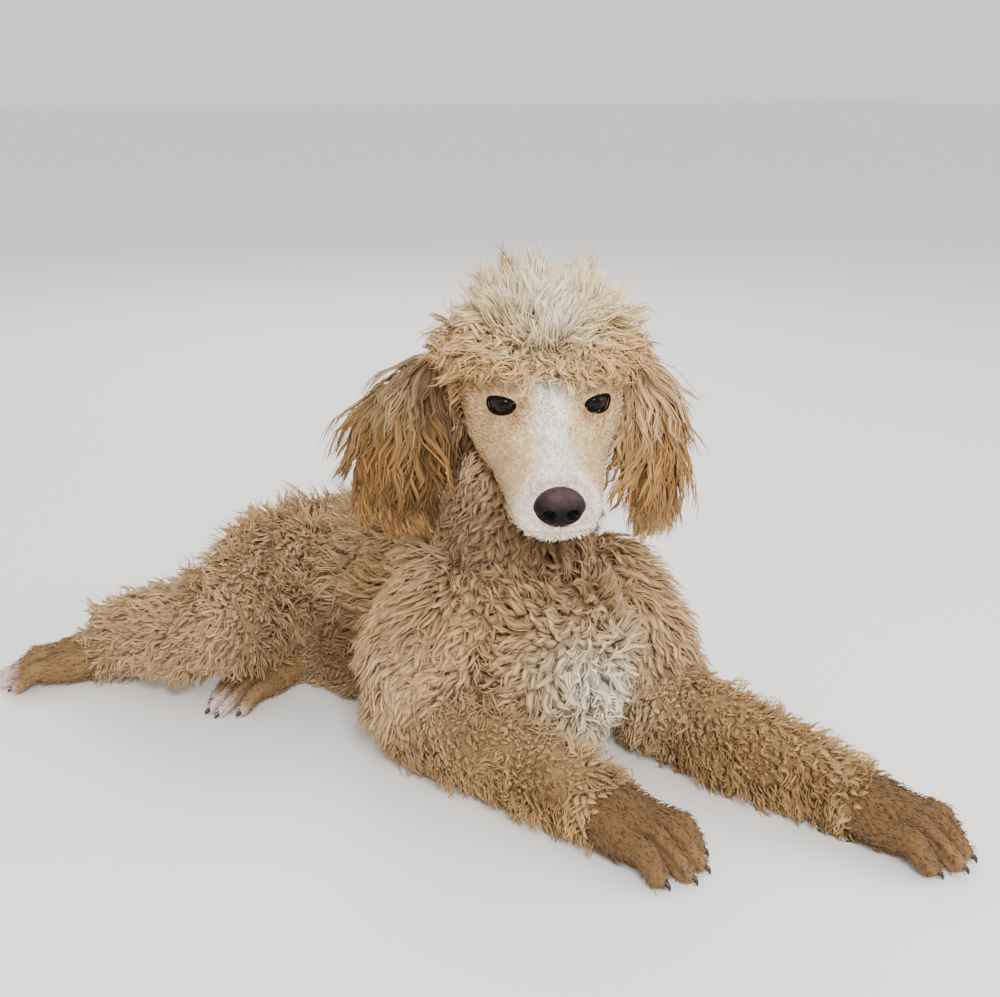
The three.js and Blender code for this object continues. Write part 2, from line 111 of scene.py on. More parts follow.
floor_material, floor_shader, floor_tree = new_material("pale_floor", 0.85)
floor_shader.inputs["Base Color"].default_value = FLOOR_COLOUR
add_bump(floor_tree, floor_shader, object_noise(floor_tree, 60).outputs["Fac"], 0.05, 0.002)
floor_bm = bmesh.new()
bmesh.ops.create_grid(floor_bm, x_segments=1, y_segments=1, size=FLOOR_SIZE)
floor_mesh = bpy.data.meshes.new("floor")
floor_bm.to_mesh(floor_mesh)
floor_bm.free()
floor_mesh.materials.append(floor_material)
floor = bpy.data.objects.new("floor", floor_mesh)
bpy.context.scene.collection.objects.link(floor)

for lamp_name, (place, size, power) in LAMPS.items():
    lamp_data = bpy.data.lights.new(lamp_name, "AREA")
    lamp_data.size = size
    lamp_data.energy = power
    lamp = bpy.data.objects.new(lamp_name, lamp_data)
    lamp.location = place
    lamp.rotation_euler = (LAMPS_AIM - Vector(place)).to_track_quat("-Z", "Y").to_euler()
    bpy.context.scene.collection.objects.link(lamp)
sky = bpy.data.worlds.new("soft_room")
sky.use_nodes = True
sky.node_tree.nodes["Background"].inputs["Color"].default_value = SKY_COLOUR
sky.node_tree.nodes["Background"].inputs["Strength"].default_value = SKY_STRENGTH
bpy.context.scene.world = sky

# The skin: one seamless body of trunk, neck, legs, paws, tail, head and ear leathers, in
# millimetres. It is lofted along the puppy's own lines, fused, and lies under the coat by the
# part of the coat's depth that the curls fill.
SKIN_UNDER_TIPS = 0.62
FUSE_CELL, SMOOTHING_ROUNDS = 1.7, 4
X_AXIS, Y_AXIS, Z_AXIS = np.eye(3)
# Stations at the tips of the coat: x, y, z, half width, half height. Then the coat's depth, the
# direction its width runs in, and whether it rests on the floor.
BODY = {
    "torso": ([[7, -14, 69, 60, 77], [0, 28, 77, 72, 87], [-8, 88, 72, 70, 80],
               [-18, 150, 61, 66, 69], [-30, 205, 54, 60, 61], [-40, 240, 46, 46, 50]],
              27, X_AXIS, True),
    "neck": ([[0, 20, 120, 52, 50], [-2, 2, 160, 50, 50], [-6, -6, 200, 42, 44]],
             22, X_AXIS, False),
    "upper_arm_left": ([[50, 2, 102, 36, 44], [66, -14, 72, 40, 44], [72, -26, 38, 40, 40]],
                       24, X_AXIS, True),
    "upper_arm_right": ([[-44, 14, 106, 38, 44], [-58, 24, 70, 40, 42], [-60, 26, 34, 38, 36]],
                        24, X_AXIS, True),
    "foreleg_left": ([[72, -34, 32, 35, 33], [87, -100, 28, 31, 30], [104, -150, 24, 26, 26]],
                     15, X_AXIS, True),
    "foreleg_right": ([[-60, 20, 31, 34, 32], [-38, -40, 28, 30, 30], [-20, -92, 24, 26, 26]],
                      15, X_AXIS, True),
    "thigh_right": ([[-50, 210, 68, 48, 48], [-94, 180, 66, 50, 52], [-130, 150, 58, 42, 46]],
                    26, Y_AXIS, False),
    "shank_right": ([[-134, 146, 55, 38, 40], [-160, 184, 44, 35, 39], [-186, 224, 30, 28, 31]],
                    18, X_AXIS, False),
    "thigh_left": ([[8, 200, 40, 36, 42], [-16, 140, 36, 34, 38], [-40, 92, 28, 28, 31]],
                   22, X_AXIS, True),
    "shank_left": ([[-42, 88, 24, 26, 27], [-60, 128, 22, 23, 25], [-76, 156, 19, 20, 22]],
                   12, X_AXIS, True),
    "tail_pom": ([[12, 304, 26, 20, 22], [34, 312, 26, 26, 27], [54, 314, 24, 19, 22]],
                 20, Z_AXIS, True),
    "tail": ([[-34, 254, 48, 13, 13], [-20, 278, 38, 10, 10], [4, 298, 28, 9, 9],
              [22, 306, 26, 8, 8]], 3, Z_AXIS, False),
}
# Steps in which the rounded end of a form is closed
END_STEPS = 7
# Wrist or hock, heading in degrees, length, half width and half height of each paw
PAWS = {
    "forepaw_right": ((-17, -98, 22), 21, 70, 23, 16),
    "forepaw_left": ((107, -158, 22), 22, 72, 23, 16),
    "hindpaw_right": ((-188, 230, 25), -105, 82, 19, 15),
    "hindpaw_left": ((-78, 164, 19), -68, 84, 17, 13),
}
# Four toes, counted out from the middle. Their half width and spread are shares of the paw's half
# width, and where they start and end are shares of its length.
TOE_PLACES = (-1.5, -0.5, 0.5, 1.5)
TOE_HALF, TOE_SPREAD, TOE_ROOT, INNER_TOE_END, OUTER_TOE_END = 0.27, 0.52, 0.42, 0.98, 0.86
TOE_CREASE_HALF, TOE_CREASE_DEPTH = 1.4, 2.8
KNUCKLE_AT, KNUCKLE_REACH, KNUCKLE_RISE = 0.66, 0.08, 1.5
# Distance behind the eyes, half width, top, bottom and widest height of the head there
HEAD_SECTIONS = [
    [-63, 12, -15, -35.5, -26], [-60, 17, -12.5, -40.5, -27], [-54, 21.5, -11, -44.5, -28],
    [-42, 25, -9.5, -46.5, -29], [-28, 27, -8, -47.5, -28.5], [-15, 30, -5, -47, -26],
    [-6, 34, 8, -48, -20], [3, 38.5, 18, -49, -12], [14, 42, 27, -50, -6],
    [28, 45, 31, -50, -3], [42, 46, 35, -49, 0], [55, 42, 31, -45, 0],
    [65, 34, 24, -38, -1], [73, 22, 14, -28, -3],
]
MUZZLE_FRONT, MUZZLE_MIDDLE, HEAD_SQUARENESS = -66.5, -24, 0.88
HEAD_FIRST, HEAD_LAST, HEAD_BACK, HEAD_RINGS, HEAD_SIDES = -63, 73, 77, 48, 40
HEAD_CLOSING = (0.5, 0.8, 0.97)
FACE_FUR_DEPTH = 1.0
EYES_AT, HEAD_TURN, HEAD_NOD = (-14, -45, 228), -25, 19
EARS = {
    "ear_right": ([[-38, 13, 248, 9, 5], [-54, 20, 232, 17, 5], [-67, 24, 208, 24, 5],
                   [-70, 25, 180, 25, 4.5], [-67, 24, 158, 16, 4]], (-0.72, 0.69, 0), -5),
    "ear_left": ([[42, -36, 248, 9, 5], [50, -46, 232, 14, 5], [54, -52, 208, 18, 5],
                  [54, -54, 180, 19, 4.5], [52, -53, 160, 14, 4]], (0.86, 0.5, 0), 5),
}
EAR_LEATHER_INSET = 1.6

head_pose = (
    Matrix.Translation(EYES_AT)
    @ Matrix.Rotation(math.radians(HEAD_TURN), 4, "Z")
    @ Matrix.Rotation(math.radians(HEAD_NOD), 4, "X")
)
HEAD_TURNED = np.array(head_pose.to_3x3())
HEAD_ORIGIN = np.array(EYES_AT, float)


def to_head(points):
    """Points of the puppy in its head's own frame: -Y forward, +X its left, between the eyes."""
    return (points - HEAD_ORIGIN) @ HEAD_TURNED


def from_head(points):
    """Points of the head's own frame back in the puppy's."""
    return points @ HEAD_TURNED.T + HEAD_ORIGIN


def smooth_row(rows, t):
    """The values at place t, from 0 to 1, on a smooth line through rows of numbers."""
    rows = np.asarray(rows, float)
    last = len(rows) - 1
    i = min(int(t * last), last - 1)
    u = t * last - i
    a, b, c, d = (rows[min(max(i + k, 0), last)] for k in (-1, 0, 1, 2))
    return b + 0.5 * u * (c - a + u * (2 * a - 5 * b + 4 * c - d + u * (3 * b - a - 3 * c + d)))


def section_at(path, t, across):
    """Centre, half sizes and directions of a loft's section at place t."""
    x, y, z, wide, high = smooth_row(path, t)
    ahead = smooth_row(path, min(t + 0.01, 1))[:3] - smooth_row(path, max(t - 0.01, 0))[:3]
    ahead /= np.linalg.norm(ahead)
    side = np.asarray(across, float)
    side = side - ahead * side.dot(ahead)
    side /= np.linalg.norm(side)
    return np.array([x, y, z]), wide, high, ahead, side, np.cross(ahead, side)


def loft(bm, rings):
    """A closed skin over rings of equally many points, bridged one to the next."""
    edge_rings = []
    for points in rings:
        made = bmesh.ops.create_circle(bm, segments=len(points), radius=1)["verts"]
        for vert, point in zip(made, points):
            vert.co = point
        edge_rings.append(list({edge for vert in made for edge in vert.link_edges}))
    for near, far in zip(edge_rings, edge_rings[1:]):
        bmesh.ops.bridge_loops(bm, edges=near + far)
    bmesh.ops.contextual_create(bm, geom=edge_rings[0])
    bmesh.ops.contextual_create(bm, geom=edge_rings[-1])


def limb_rings(path, inset=0.0, across=X_AXIS, rests=False, cup=0.0, sides=28, steps=5):
    """Rings of points along a limb, closing in round its two ends."""
    ends = [k / END_STEPS for k in range(END_STEPS - 1, 0, -1)]
    count = (len(path) - 1) * steps
    places = [-k for k in ends] + [i / count for i in range(count + 1)]
    places += [1 + k for k in ends[::-1]]
    rings = []
    for place in places:
        t = min(max(place, 0), 1)
        centre, wide, high, ahead, side, rise = section_at(path, t, across)
        turn = (place - t) * math.pi / 2
        centre = centre + ahead * math.sin(turn) * (min(wide, high) - inset)
        ring = []
        for k in range(sides):
            angle = 2 * math.pi * k / sides
            under = max(-math.sin(angle) * math.copysign(1, rise[2]), 0) if rests else 0
            tall = high - inset * (1 - under**4)
            reach = math.cos(turn) * (wide - inset) * math.cos(angle)
            lift = math.cos(turn) * (tall * math.sin(angle) - cup * math.cos(angle) ** 2)
            ring.append(centre + side * reach + rise * lift)
        rings.append(ring)
    return rings


def head_section(back):
    """Half width, top, bottom and widest height of the head at a distance behind the eyes."""
    low, high = 0.0, 1.0
    for _ in range(18):
        t = (low + high) / 2
        low, high = (t, high) if smooth_row(HEAD_SECTIONS, t)[0] < back else (low, t)
    return smooth_row(HEAD_SECTIONS, low)[1:]


def head_point(back, angle, inset=0.0):
    """A point of the head's outline at a distance behind the eyes, at an angle round it."""
    wide, top, bottom, middle = head_section(back)
    across = math.copysign(abs(math.cos(angle)) ** HEAD_SQUARENESS, math.cos(angle))
    rise = math.copysign(abs(math.sin(angle)) ** HEAD_SQUARENESS, math.sin(angle))
    reach = top - middle if rise > 0 else middle - bottom
    return np.array([(wide - inset) * across, back, middle + (reach - inset) * rise])


def paw_frame(name):
    """A paw's own frame: from the wrist or hock, with the toes towards -Y."""
    root, heading, _, _, _ = PAWS[name]
    return Matrix.Translation(root) @ Matrix.Rotation(math.radians(heading), 4, "Z")


def to_paw(name, points):
    """Points of the puppy in a paw's own frame."""
    return (points - np.array(PAWS[name][0])) @ np.array(paw_frame(name).to_3x3())


def toe_line(name, place):
    """One toe of a paw in the paw's own frame, as stations, and where its claw leaves it."""
    (_, _, drop), _, length, width, height = PAWS[name]
    reach = length * (INNER_TOE_END if abs(place) < 1 else OUTER_TOE_END)
    spread, toe, start = place * width * TOE_SPREAD, width * TOE_HALF, length * TOE_ROOT
    knuckle = -start - (reach - start) * 0.45
    stations = [
        [spread * 0.85, -start, -drop + height + 1, toe, toe],
        [spread, knuckle, -drop + height, toe, toe * 1.06],
        [spread * 1.04, -reach + toe * 1.1, -drop + toe, toe * 0.96, toe],
    ]
    return stations, (spread, reach, toe, -drop)


def smooth_step(low, high, values):
    """0 at `low` and 1 at `high`, with a soft start and end between them."""
    share = np.clip((values - low) / (high - low), 0, 1)
    return share * share * (3 - 2 * share)


def toe_crease(name, local):
    """How far points in a paw's own frame lie in the creases between its toes, from 0 to 1."""
    _, _, length, width, _ = PAWS[name]
    share = np.zeros(len(local))
    for place in (-1, 0, 1):
        middle = place * width * 0.5
        share = np.maximum(share, np.exp(-(((local[:, 0] - middle) / TOE_CREASE_HALF) ** 2)))
    return share * smooth_step(0.40, 0.60, -local[:, 1] / length)


skin_bm = bmesh.new()
for name, (path, depth, across, rests) in BODY.items():
    loft(skin_bm, limb_rings(path, depth * SKIN_UNDER_TIPS, across, rests))
for name, ((_, _, drop), _, length, width, height) in PAWS.items():
    turned = paw_frame(name)
    foot = [
        [0, 4, 0, width * 0.82, height],
        [0, -length * 0.3, -drop + height, width * 0.94, height],
        [0, -length * 0.56, -drop + height - 3, width * 0.88, height * 0.8],
    ]
    lines = [foot] + [toe_line(name, place)[0] for place in TOE_PLACES]
    for line in lines:
        rings = limb_rings(line, 0.6, sides=20, steps=4)
        loft(skin_bm, [[turned @ Vector(point) for point in ring] for ring in rings])
for name, (flap, across, cup) in EARS.items():
    loft(skin_bm, limb_rings(flap, EAR_LEATHER_INSET, across, cup=cup))
angles = -2 * math.pi * np.arange(HEAD_SIDES) / HEAD_SIDES
head_rings = [
    [head_point(back, angle, FACE_FUR_DEPTH) for angle in angles]
    for back in np.linspace(HEAD_FIRST, HEAD_LAST, HEAD_RINGS)
]
last_ring = head_rings[-1]
last_middle = head_section(HEAD_LAST)[3]
head_rings.insert(0, [
    (point[0] * 0.5, MUZZLE_FRONT + 1, MUZZLE_MIDDLE + (point[2] - MUZZLE_MIDDLE) * 0.5)
    for point in head_rings[0]
])
for share in HEAD_CLOSING:
    shrink = math.sqrt(1 - share**2)
    back = HEAD_LAST + (HEAD_BACK - HEAD_LAST) * share
    head_rings.append([
        (point[0] * shrink, back, last_middle + (point[2] - last_middle) * shrink)
        for point in last_ring
    ])
loft(skin_bm, [[head_pose @ Vector(point) for point in ring] for ring in head_rings])
bmesh.ops.recalc_face_normals(skin_bm, faces=skin_bm.faces)

fused_mesh = bpy.data.meshes.new("skin_rough")
skin_bm.to_mesh(fused_mesh)
skin_bm.free()
rough = bpy.data.objects.new("skin_rough", fused_mesh)
bpy.context.scene.collection.objects.link(rough)
fuse = rough.modifiers.new("fuse", "REMESH")
fuse.mode = "VOXEL"
fuse.voxel_size = FUSE_CELL


def settled_mesh(piece):
    """The piece's mesh with its modifiers made real."""
    bpy.context.view_layer.update()
    settled = piece.evaluated_get(bpy.context.evaluated_depsgraph_get())
    return bpy.data.meshes.new_from_object(settled)


def points_of(mesh):
    """The places of a mesh's vertices, one row each."""
    points = np.zeros(len(mesh.vertices) * 3)
    mesh.vertices.foreach_get("co", points)
    return points.reshape(-1, 3)


def normals_of(mesh):
    """The way that the surface faces at each vertex of a mesh."""
    normals = np.zeros(len(mesh.vertices) * 3)
    mesh.vertex_normals.foreach_get("vector", normals)
    return normals.reshape(-1, 3)


LINE_SAMPLES = 25
body_names = list(BODY)
body_lines = []
for name in body_names:
    path, depth, across, rests = BODY[name]
    sections = [section_at(path, t, across) for t in np.linspace(0, 1, LINE_SAMPLES)]
    body_lines.append({
        "centre": np.array([s[0] for s in sections]),
        "half": np.array([(s[1] + s[2]) / 2 - depth * SKIN_UNDER_TIPS for s in sections]),
        "ahead": np.array([s[3] for s in sections]),
        "side": np.array([s[4] for s in sections]),
        "rise": np.array([s[5] for s in sections]),
    })
# What each point of the skin belongs to: a part of the body by its number, or one of these
REGION_HEAD, REGION_EAR_RIGHT, REGION_EAR_LEFT, REGION_PAW = 100, 101, 102, 103
head_backs = np.linspace(-66, 84, 60)
head_table = np.array([head_section(min(max(back, HEAD_FIRST), HEAD_LAST)) for back in head_backs])


def regions_of(points):
    """Which part each point of the skin belongs to, its place along that part, and its angle."""
    best = np.full(len(points), np.inf)
    region = np.zeros(len(points), int)
    place = np.zeros(len(points))
    turn = np.zeros(len(points))
    for k, line in enumerate(body_lines):
        away = points[:, None, :] - line["centre"][None]
        share = np.linalg.norm(away, axis=2) / line["half"][None]
        near = share.argmin(1)
        value = share[np.arange(len(points)), near]
        closer = value < best
        best[closer] = value[closer]
        region[closer] = k
        here = away[np.arange(len(points)), near]
        length = np.linalg.norm(line["centre"][-1] - line["centre"][0])
        beyond = (here * line["ahead"][near]).sum(1) / length
        place[closer] = (near / (LINE_SAMPLES - 1) + beyond)[closer]
        angle = np.arctan2((here * line["rise"][near]).sum(1), (here * line["side"][near]).sum(1))
        turn[closer] = angle[closer]
    head = to_head(points)
    wide, top, bottom, middle = (
        np.interp(head[:, 1], head_backs, head_table[:, k]) for k in range(4)
    )
    lift = head[:, 2] - middle
    tall = np.where(lift > 0, top - middle, middle - bottom)
    share = (np.abs(head[:, 0]) / wide) ** 2.2 + (np.abs(lift) / tall) ** 2.2
    on_head = (head[:, 1] > -70) & (head[:, 1] < 80)
    on_head &= share < np.where(head[:, 1] < -8, 1.7, 1.16)
    region[on_head] = REGION_HEAD
    place[on_head] = (head[on_head, 1] + 70) / 158
    turn[on_head] = np.arctan2(head[on_head, 2] + 10, head[on_head, 0])
    for name, code in (("ear_right", REGION_EAR_RIGHT), ("ear_left", REGION_EAR_LEFT)):
        flap, across, cup = EARS[name]
        for t in np.linspace(0, 1, 30):
            centre, wide, high, ahead, side, rise = section_at(flap, t, across)
            away = points - centre
            flat = np.abs(away @ side) < wide + 2
            thin = np.abs(away @ rise + cup * 0.5) < high + 3.5
            step = np.abs(away @ ahead) < 3.2 + 3 * (t > 0.97)
            found = flat & thin & step & (t > 0.12)
            region[found] = code
            place[found] = t
            turn[found] = (away @ side)[found] / wide * 1.5
    for name in PAWS:
        local = to_paw(name, points)
        _, _, length, width, height = PAWS[name]
        found = (local[:, 1] < -length * 0.16) & (np.abs(local[:, 0]) < width * 1.25)
        found &= (local[:, 2] < height + 3) & (local[:, 1] > -length - 6)
        region[found] = REGION_PAW + list(PAWS).index(name)
        place[found] = -local[found, 1] / length
        turn[found] = np.arctan2(local[found, 2], local[found, 0])
    return region, place, turn


skin_mesh = settled_mesh(rough)
bpy.data.objects.remove(rough)
skin_bm = bmesh.new()
skin_bm.from_mesh(skin_mesh)
for _ in range(SMOOTHING_ROUNDS):
    bmesh.ops.smooth_vert(skin_bm, verts=skin_bm.verts, factor=0.5, use_axis_x=True,
                          use_axis_y=True, use_axis_z=True)
skin_bm.to_mesh(skin_mesh)
skin_bm.free()

# Under the curls the skin needs few faces, so only the bare forms keep their fine mesh: the paws,
# and the head as far back as this behind the eyes
FINE_FACE_BACK, THINNED_SHARE = 34, 0.82
skin = bpy.data.objects.new("skin", skin_mesh)
bpy.context.scene.collection.objects.link(skin)
points = points_of(skin_mesh)
region, _, _ = regions_of(points)
head = to_head(points)
bare = (region >= REGION_PAW) | ((region == REGION_HEAD) & (head[:, 1] < FINE_FACE_BACK))
coated = skin.vertex_groups.new(name="coated")
coated.add(np.flatnonzero(~bare).tolist(), 1.0, "REPLACE")
thin_out = skin.modifiers.new("thin_out", "DECIMATE")
thin_out.vertex_group = "coated"
thin_out.ratio = 1 - THINNED_SHARE * float((~bare).mean())
skin_mesh = settled_mesh(skin)
skin.modifiers.clear()
skin.vertex_groups.clear()

# The face's own forms, worked into the fine mesh: lids hugging the eyeballs, sockets, stop,
# cheeks, flews, the line of the mouth between its lips, and the fold under the nose.
EYE_APART, EYE_BACK, EYE_RADIUS = 22.3, 3.8, 9.2
EYE_OUTWARD, EYE_SLANT, EYE_LIFT = 30, -7, 14
LID_THICKNESS, LID_HALF_LENGTH, LID_UPPER, LID_LOWER, LID_BAND = 1.3, 8.8, 5.2, 4.4, 4.5
MOUTH_LINE = [[-14, 31], [-30, 34], [-46, 38], [-59, 42]]
MOUTH_FRONT, MOUTH_SAMPLES = (0, -64.5, -35), 90
# Distance of the lips' ridge from the line of the mouth, its half width and rise, then the half
# width and depth of the cleft between the lips
LIP_RIDGE, MOUTH_CLEFT = (2.4, 1.5, 1.0), (0.75, 2.3)
EYE_FINE_REACH, MOUTH_FINE_REACH = 17, 5
# Place, reach and rise of the soft forms of the face. The paired ones are brow, side of the stop,
# hollow under the eye, flew and cheek, and the middle ones are the stop and the chin.
PAIRED_FORMS = (((24, -1, 13), 8, 1.6), ((13, -14, -4), 8, -1.4), ((29, -8, -14), 9, -0.9),
                ((13, -52, -30), 10, 1.5), ((36, 8, -26), 14, 1.8))
MIDDLE_FORMS = (((0, 4, 22), 9, -1.4), ((0, -60, -41), 8, 1.2))
# Low and high corner of the box round the face whose mesh is made fine, and of the face itself
FINE_BOX = (-50, -75, -56), (50, 22, 36)
FACE_BOX = (-52, -75, -60), (52, 30, 40)
# The hollow that the nose is set into: sideways, upwards, half width, half height and depth
NOSE_HOLLOW = -0.8, -21.4, 10.8, 8.4, 8


def eye_frame(side):
    """Centre of an eye, and the ways to its front, its outer corner and its upper lid."""
    out, slant, lift = (math.radians(angle) for angle in (EYE_OUTWARD, EYE_SLANT, EYE_LIFT))
    level = np.array([side * math.sin(out), -math.cos(out), 0])
    outer = np.array([side * math.cos(out), math.sin(out), 0])
    centre = np.array([side * EYE_APART, EYE_BACK, 0.0])
    front = level * math.cos(lift) + Z_AXIS * math.sin(lift)
    above = Z_AXIS * math.cos(lift) - level * math.sin(lift)
    corner = outer * math.cos(slant) + above * math.sin(slant)
    return centre, front, corner, np.cross(corner, front) * side


def lid_edge_height(along, upper):
    """Height of a lid's edge over the eye's long axis, in millimetres on the eyeball."""
    curve = np.clip(1 - (along / LID_HALF_LENGTH) ** 2, 0, 1)
    return np.where(upper, LID_UPPER, LID_LOWER) * curve**0.62


def on_eyeball(way, corner, upper):
    """How far along and above the eye's long axis a direction meets the eyeball, in millimetres."""
    along = EYE_RADIUS * np.arcsin(np.clip(way @ corner, -1, 1))
    height = EYE_RADIUS * np.arcsin(np.clip(way @ upper, -1, 1))
    return along, height


def mouth_points():
    """Points along the mouth, from the left corner round the front to the right one."""
    left = [head_point(back, math.radians(-below), FACE_FUR_DEPTH) for back, below in MOUTH_LINE]
    right = [point * (-1, 1, 1) for point in left[::-1]]
    rows = [*left, np.array(MOUTH_FRONT, float), *right]
    return np.array([smooth_row(rows, t) for t in np.linspace(0, 1, MOUTH_SAMPLES)])


mouth = mouth_points()


def soft_bump(points, centre, radius, height):
    """A round swelling: `height` at its centre, fading away past its radius."""
    return height * np.exp(-(np.linalg.norm(points - np.array(centre), axis=1) / radius) ** 2)


skin_bm = bmesh.new()
skin_bm.from_mesh(skin_mesh)


def divide_near(bm, chosen):
    """Splits the faces whose vertices `chosen` marks, to give fine forms room."""
    bm.verts.ensure_lookup_table()
    picked = {bm.verts[i] for i in np.flatnonzero(chosen)}
    edges = [edge for edge in bm.edges if edge.verts[0] in picked and edge.verts[1] in picked]
    bmesh.ops.subdivide_edges(bm, edges=edges, cuts=1, use_grid_fill=True)


def in_box(points, box):
    return ((points > box[0]) & (points < box[1])).all(1)


def fine_zone(points):
    """Which points lie round the eyes or along the mouth."""
    local = to_head(points)
    zone = np.zeros(len(points), bool)
    for side in (-1, 1):
        zone |= np.linalg.norm(local - eye_frame(side)[0], axis=1) < EYE_FINE_REACH
    near_mouth = np.full(len(points), np.inf)
    front = np.flatnonzero(local[:, 1] < 0)
    away = np.linalg.norm(local[front][:, None] - mouth[None], axis=2).min(1)
    near_mouth[front] = away
    return zone | (near_mouth < MOUTH_FINE_REACH)


def on_toes(points):
    """Which points lie on the toes, off the floor."""
    found = np.zeros(len(points), bool)
    for name, (_, _, length, width, height) in PAWS.items():
        local = to_paw(name, points)
        found |= (local[:, 1] < -length * 0.4) & (np.abs(local[:, 0]) < width * 1.2) \
            & (local[:, 1] > -length - 4) & (local[:, 2] < height) & (points[:, 2] > 4)
    return found


points = np.array([vert.co for vert in skin_bm.verts])
divide_near(skin_bm, in_box(to_head(points), FINE_BOX))
points = np.array([vert.co for vert in skin_bm.verts])
divide_near(skin_bm, fine_zone(points) | on_toes(points))
for _ in range(2):
    points = np.array([vert.co for vert in skin_bm.verts])
    local = to_head(points)
    skin_bm.verts.ensure_lookup_table()
    ahead = (local[:, 1] < FINE_BOX[1][1]) & (local[:, 2] > FINE_BOX[0][2])
    face_verts = [skin_bm.verts[i] for i in np.flatnonzero(ahead)]
    bmesh.ops.smooth_vert(skin_bm, verts=face_verts, factor=0.5, use_axis_x=True,
                          use_axis_y=True, use_axis_z=True)
skin_bm.to_mesh(skin_mesh)
skin_bm.free()

points = points_of(skin_mesh)
normals = normals_of(skin_mesh) @ HEAD_TURNED
local = to_head(points)
on_face = in_box(local, FACE_BOX)
swell = np.zeros(len(points))
for (apart, ahead, above), reach, rise in PAIRED_FORMS:
    for side in (-1, 1):
        swell += soft_bump(local, (side * apart, ahead, above), reach, rise)
for place, reach, rise in MIDDLE_FORMS:
    swell += soft_bump(local, place, reach, rise)
away = np.full(len(points), np.inf)
front = np.flatnonzero(on_face & (local[:, 1] < 0))
away[front] = np.linalg.norm(local[front][:, None] - mouth[None], axis=2).min(1)
swell += LIP_RIDGE[2] * np.exp(-(((away - LIP_RIDGE[0]) / LIP_RIDGE[1]) ** 2))
swell -= MOUTH_CLEFT[1] * np.exp(-((away / MOUTH_CLEFT[0]) ** 2))
under_nose = (local[:, 1] < -58) & (local[:, 2] < -26) & (local[:, 2] > -36)
swell -= under_nose * 0.9 * np.exp(-((local[:, 0] / 0.7) ** 2))
local = local + normals * (swell * on_face)[:, None]
for side in (-1, 1):
    centre, front, corner, upper = eye_frame(side)
    away = local - centre
    reach = np.linalg.norm(away, axis=1)
    way = away / reach[:, None]
    near = (reach < 20) & (way @ front > 0.25)
    along, height = on_eyeball(way, corner, upper)
    edge = lid_edge_height(along, height > 0)
    past_corner = np.maximum(np.abs(along) - LID_HALF_LENGTH, 0)
    outside = np.hypot(np.maximum(np.abs(height) - edge, 0), past_corner)
    open_eye = near & (outside <= 0.01)
    hug = (1 - smooth_step(0.6, LID_BAND, outside)) * near
    lid = EYE_RADIUS + LID_THICKNESS
    target = np.where(open_eye, EYE_RADIUS - 2.0, reach + (lid - reach) * hug)
    out_to_lid = np.maximum(target, np.minimum(lid, reach + 6 * hug))
    target = np.where(near & ~open_eye, out_to_lid, target)
    local[near] = (centre + way * target[:, None])[near]
nose_x, nose_z, nose_wide, nose_high, nose_deep = NOSE_HOLLOW
behind_nose = np.hypot((local[:, 0] - nose_x) / nose_wide, (local[:, 2] - nose_z) / nose_high)
local[:, 1] += (local[:, 1] < -54) * (1 - smooth_step(0.7, 1.0, behind_nose)) * nose_deep
points = from_head(local)
paw_normals = normals_of(skin_mesh)
paw_region = regions_of(points)[0]
for number, name in enumerate(PAWS):
    is_paw = paw_region == REGION_PAW + number
    local = to_paw(name, points[is_paw])
    depth = TOE_CREASE_DEPTH * toe_crease(name, local)
    from_knuckle = (-local[:, 1] / PAWS[name][2] - KNUCKLE_AT) / KNUCKLE_REACH
    depth -= KNUCKLE_RISE * np.exp(-(from_knuckle ** 2)) * (paw_normals[is_paw][:, 2] > 0.2)
    points[is_paw] -= paw_normals[is_paw] * depth[:, None]
points[:, 2] = np.maximum(points[:, 2], 0.4)
skin_mesh.vertices.foreach_set("co", (points * MM).ravel())
skin_mesh.update()
skin.data = skin_mesh
points = points_of(skin_mesh) * MM_IN_METRE
normals = normals_of(skin_mesh)

# The puppy's markings, the same on skin and coat: cream face with a white blaze, pale topknot,
# golden ears, tan body with a white bib, brown throat, and white toes on the hind feet. Painted
# shade is laid in with them, deep in the coat by the throat, in the flank and behind the elbows,
# on the ears' hind edges, round the eyes, under the fringe, on the sides of the face and in the
# creases of the toes, and a painted highlight on the ends of the forepaws' toes.


def srgb(red, green, blue):
    """A colour of the photograph's scale, from 0 to 255, as light."""
    value = np.array([red, green, blue]) / 255
    return np.where(value <= 0.04045, value / 12.92, ((value + 0.055) / 1.055) ** 2.4)


TAN, DARK_TAN, PALE_TAN = srgb(200, 160, 108), srgb(150, 110, 66), srgb(224, 192, 148)
# The first colour on the next line is painted shade, not a colour of the coat: it darkens the deep
# places where the coat lies in shade, and the ears' hind edges.
PAINTED_SHADE_TAN, GOLD, DARK_GOLD = srgb(92, 62, 34), srgb(196, 148, 84), srgb(118, 82, 38)
CREAM, TOPKNOT_WHITE, FRINGE = srgb(246, 226, 184), srgb(252, 240, 212), srgb(226, 188, 130)
FACE_CREAM, BLAZE, WHITE = srgb(234, 208, 160), srgb(255, 250, 232), srgb(250, 236, 210)
PAW_TAN, PINK, TEAR_RED = srgb(126, 94, 60), srgb(238, 212, 206), srgb(176, 88, 66)
# The dark of the lips, first on the next line, also serves as painted shade in the creases between the
# toes
LIP_DARK_AND_CREASE_SHADE, ROSE = srgb(90, 60, 50), srgb(230, 196, 182)

# A full turn in radians, and the random waves by which colours and curls drift from place to place
FULL_TURN = 6.28
wave_source = np.random.default_rng(11)
WAVE_WAYS = wave_source.normal(size=(3, 7, 3))
WAVE_WAYS /= np.linalg.norm(WAVE_WAYS, axis=2, keepdims=True)
WAVE_SHIFTS = wave_source.uniform(0, FULL_TURN, (3, 7))


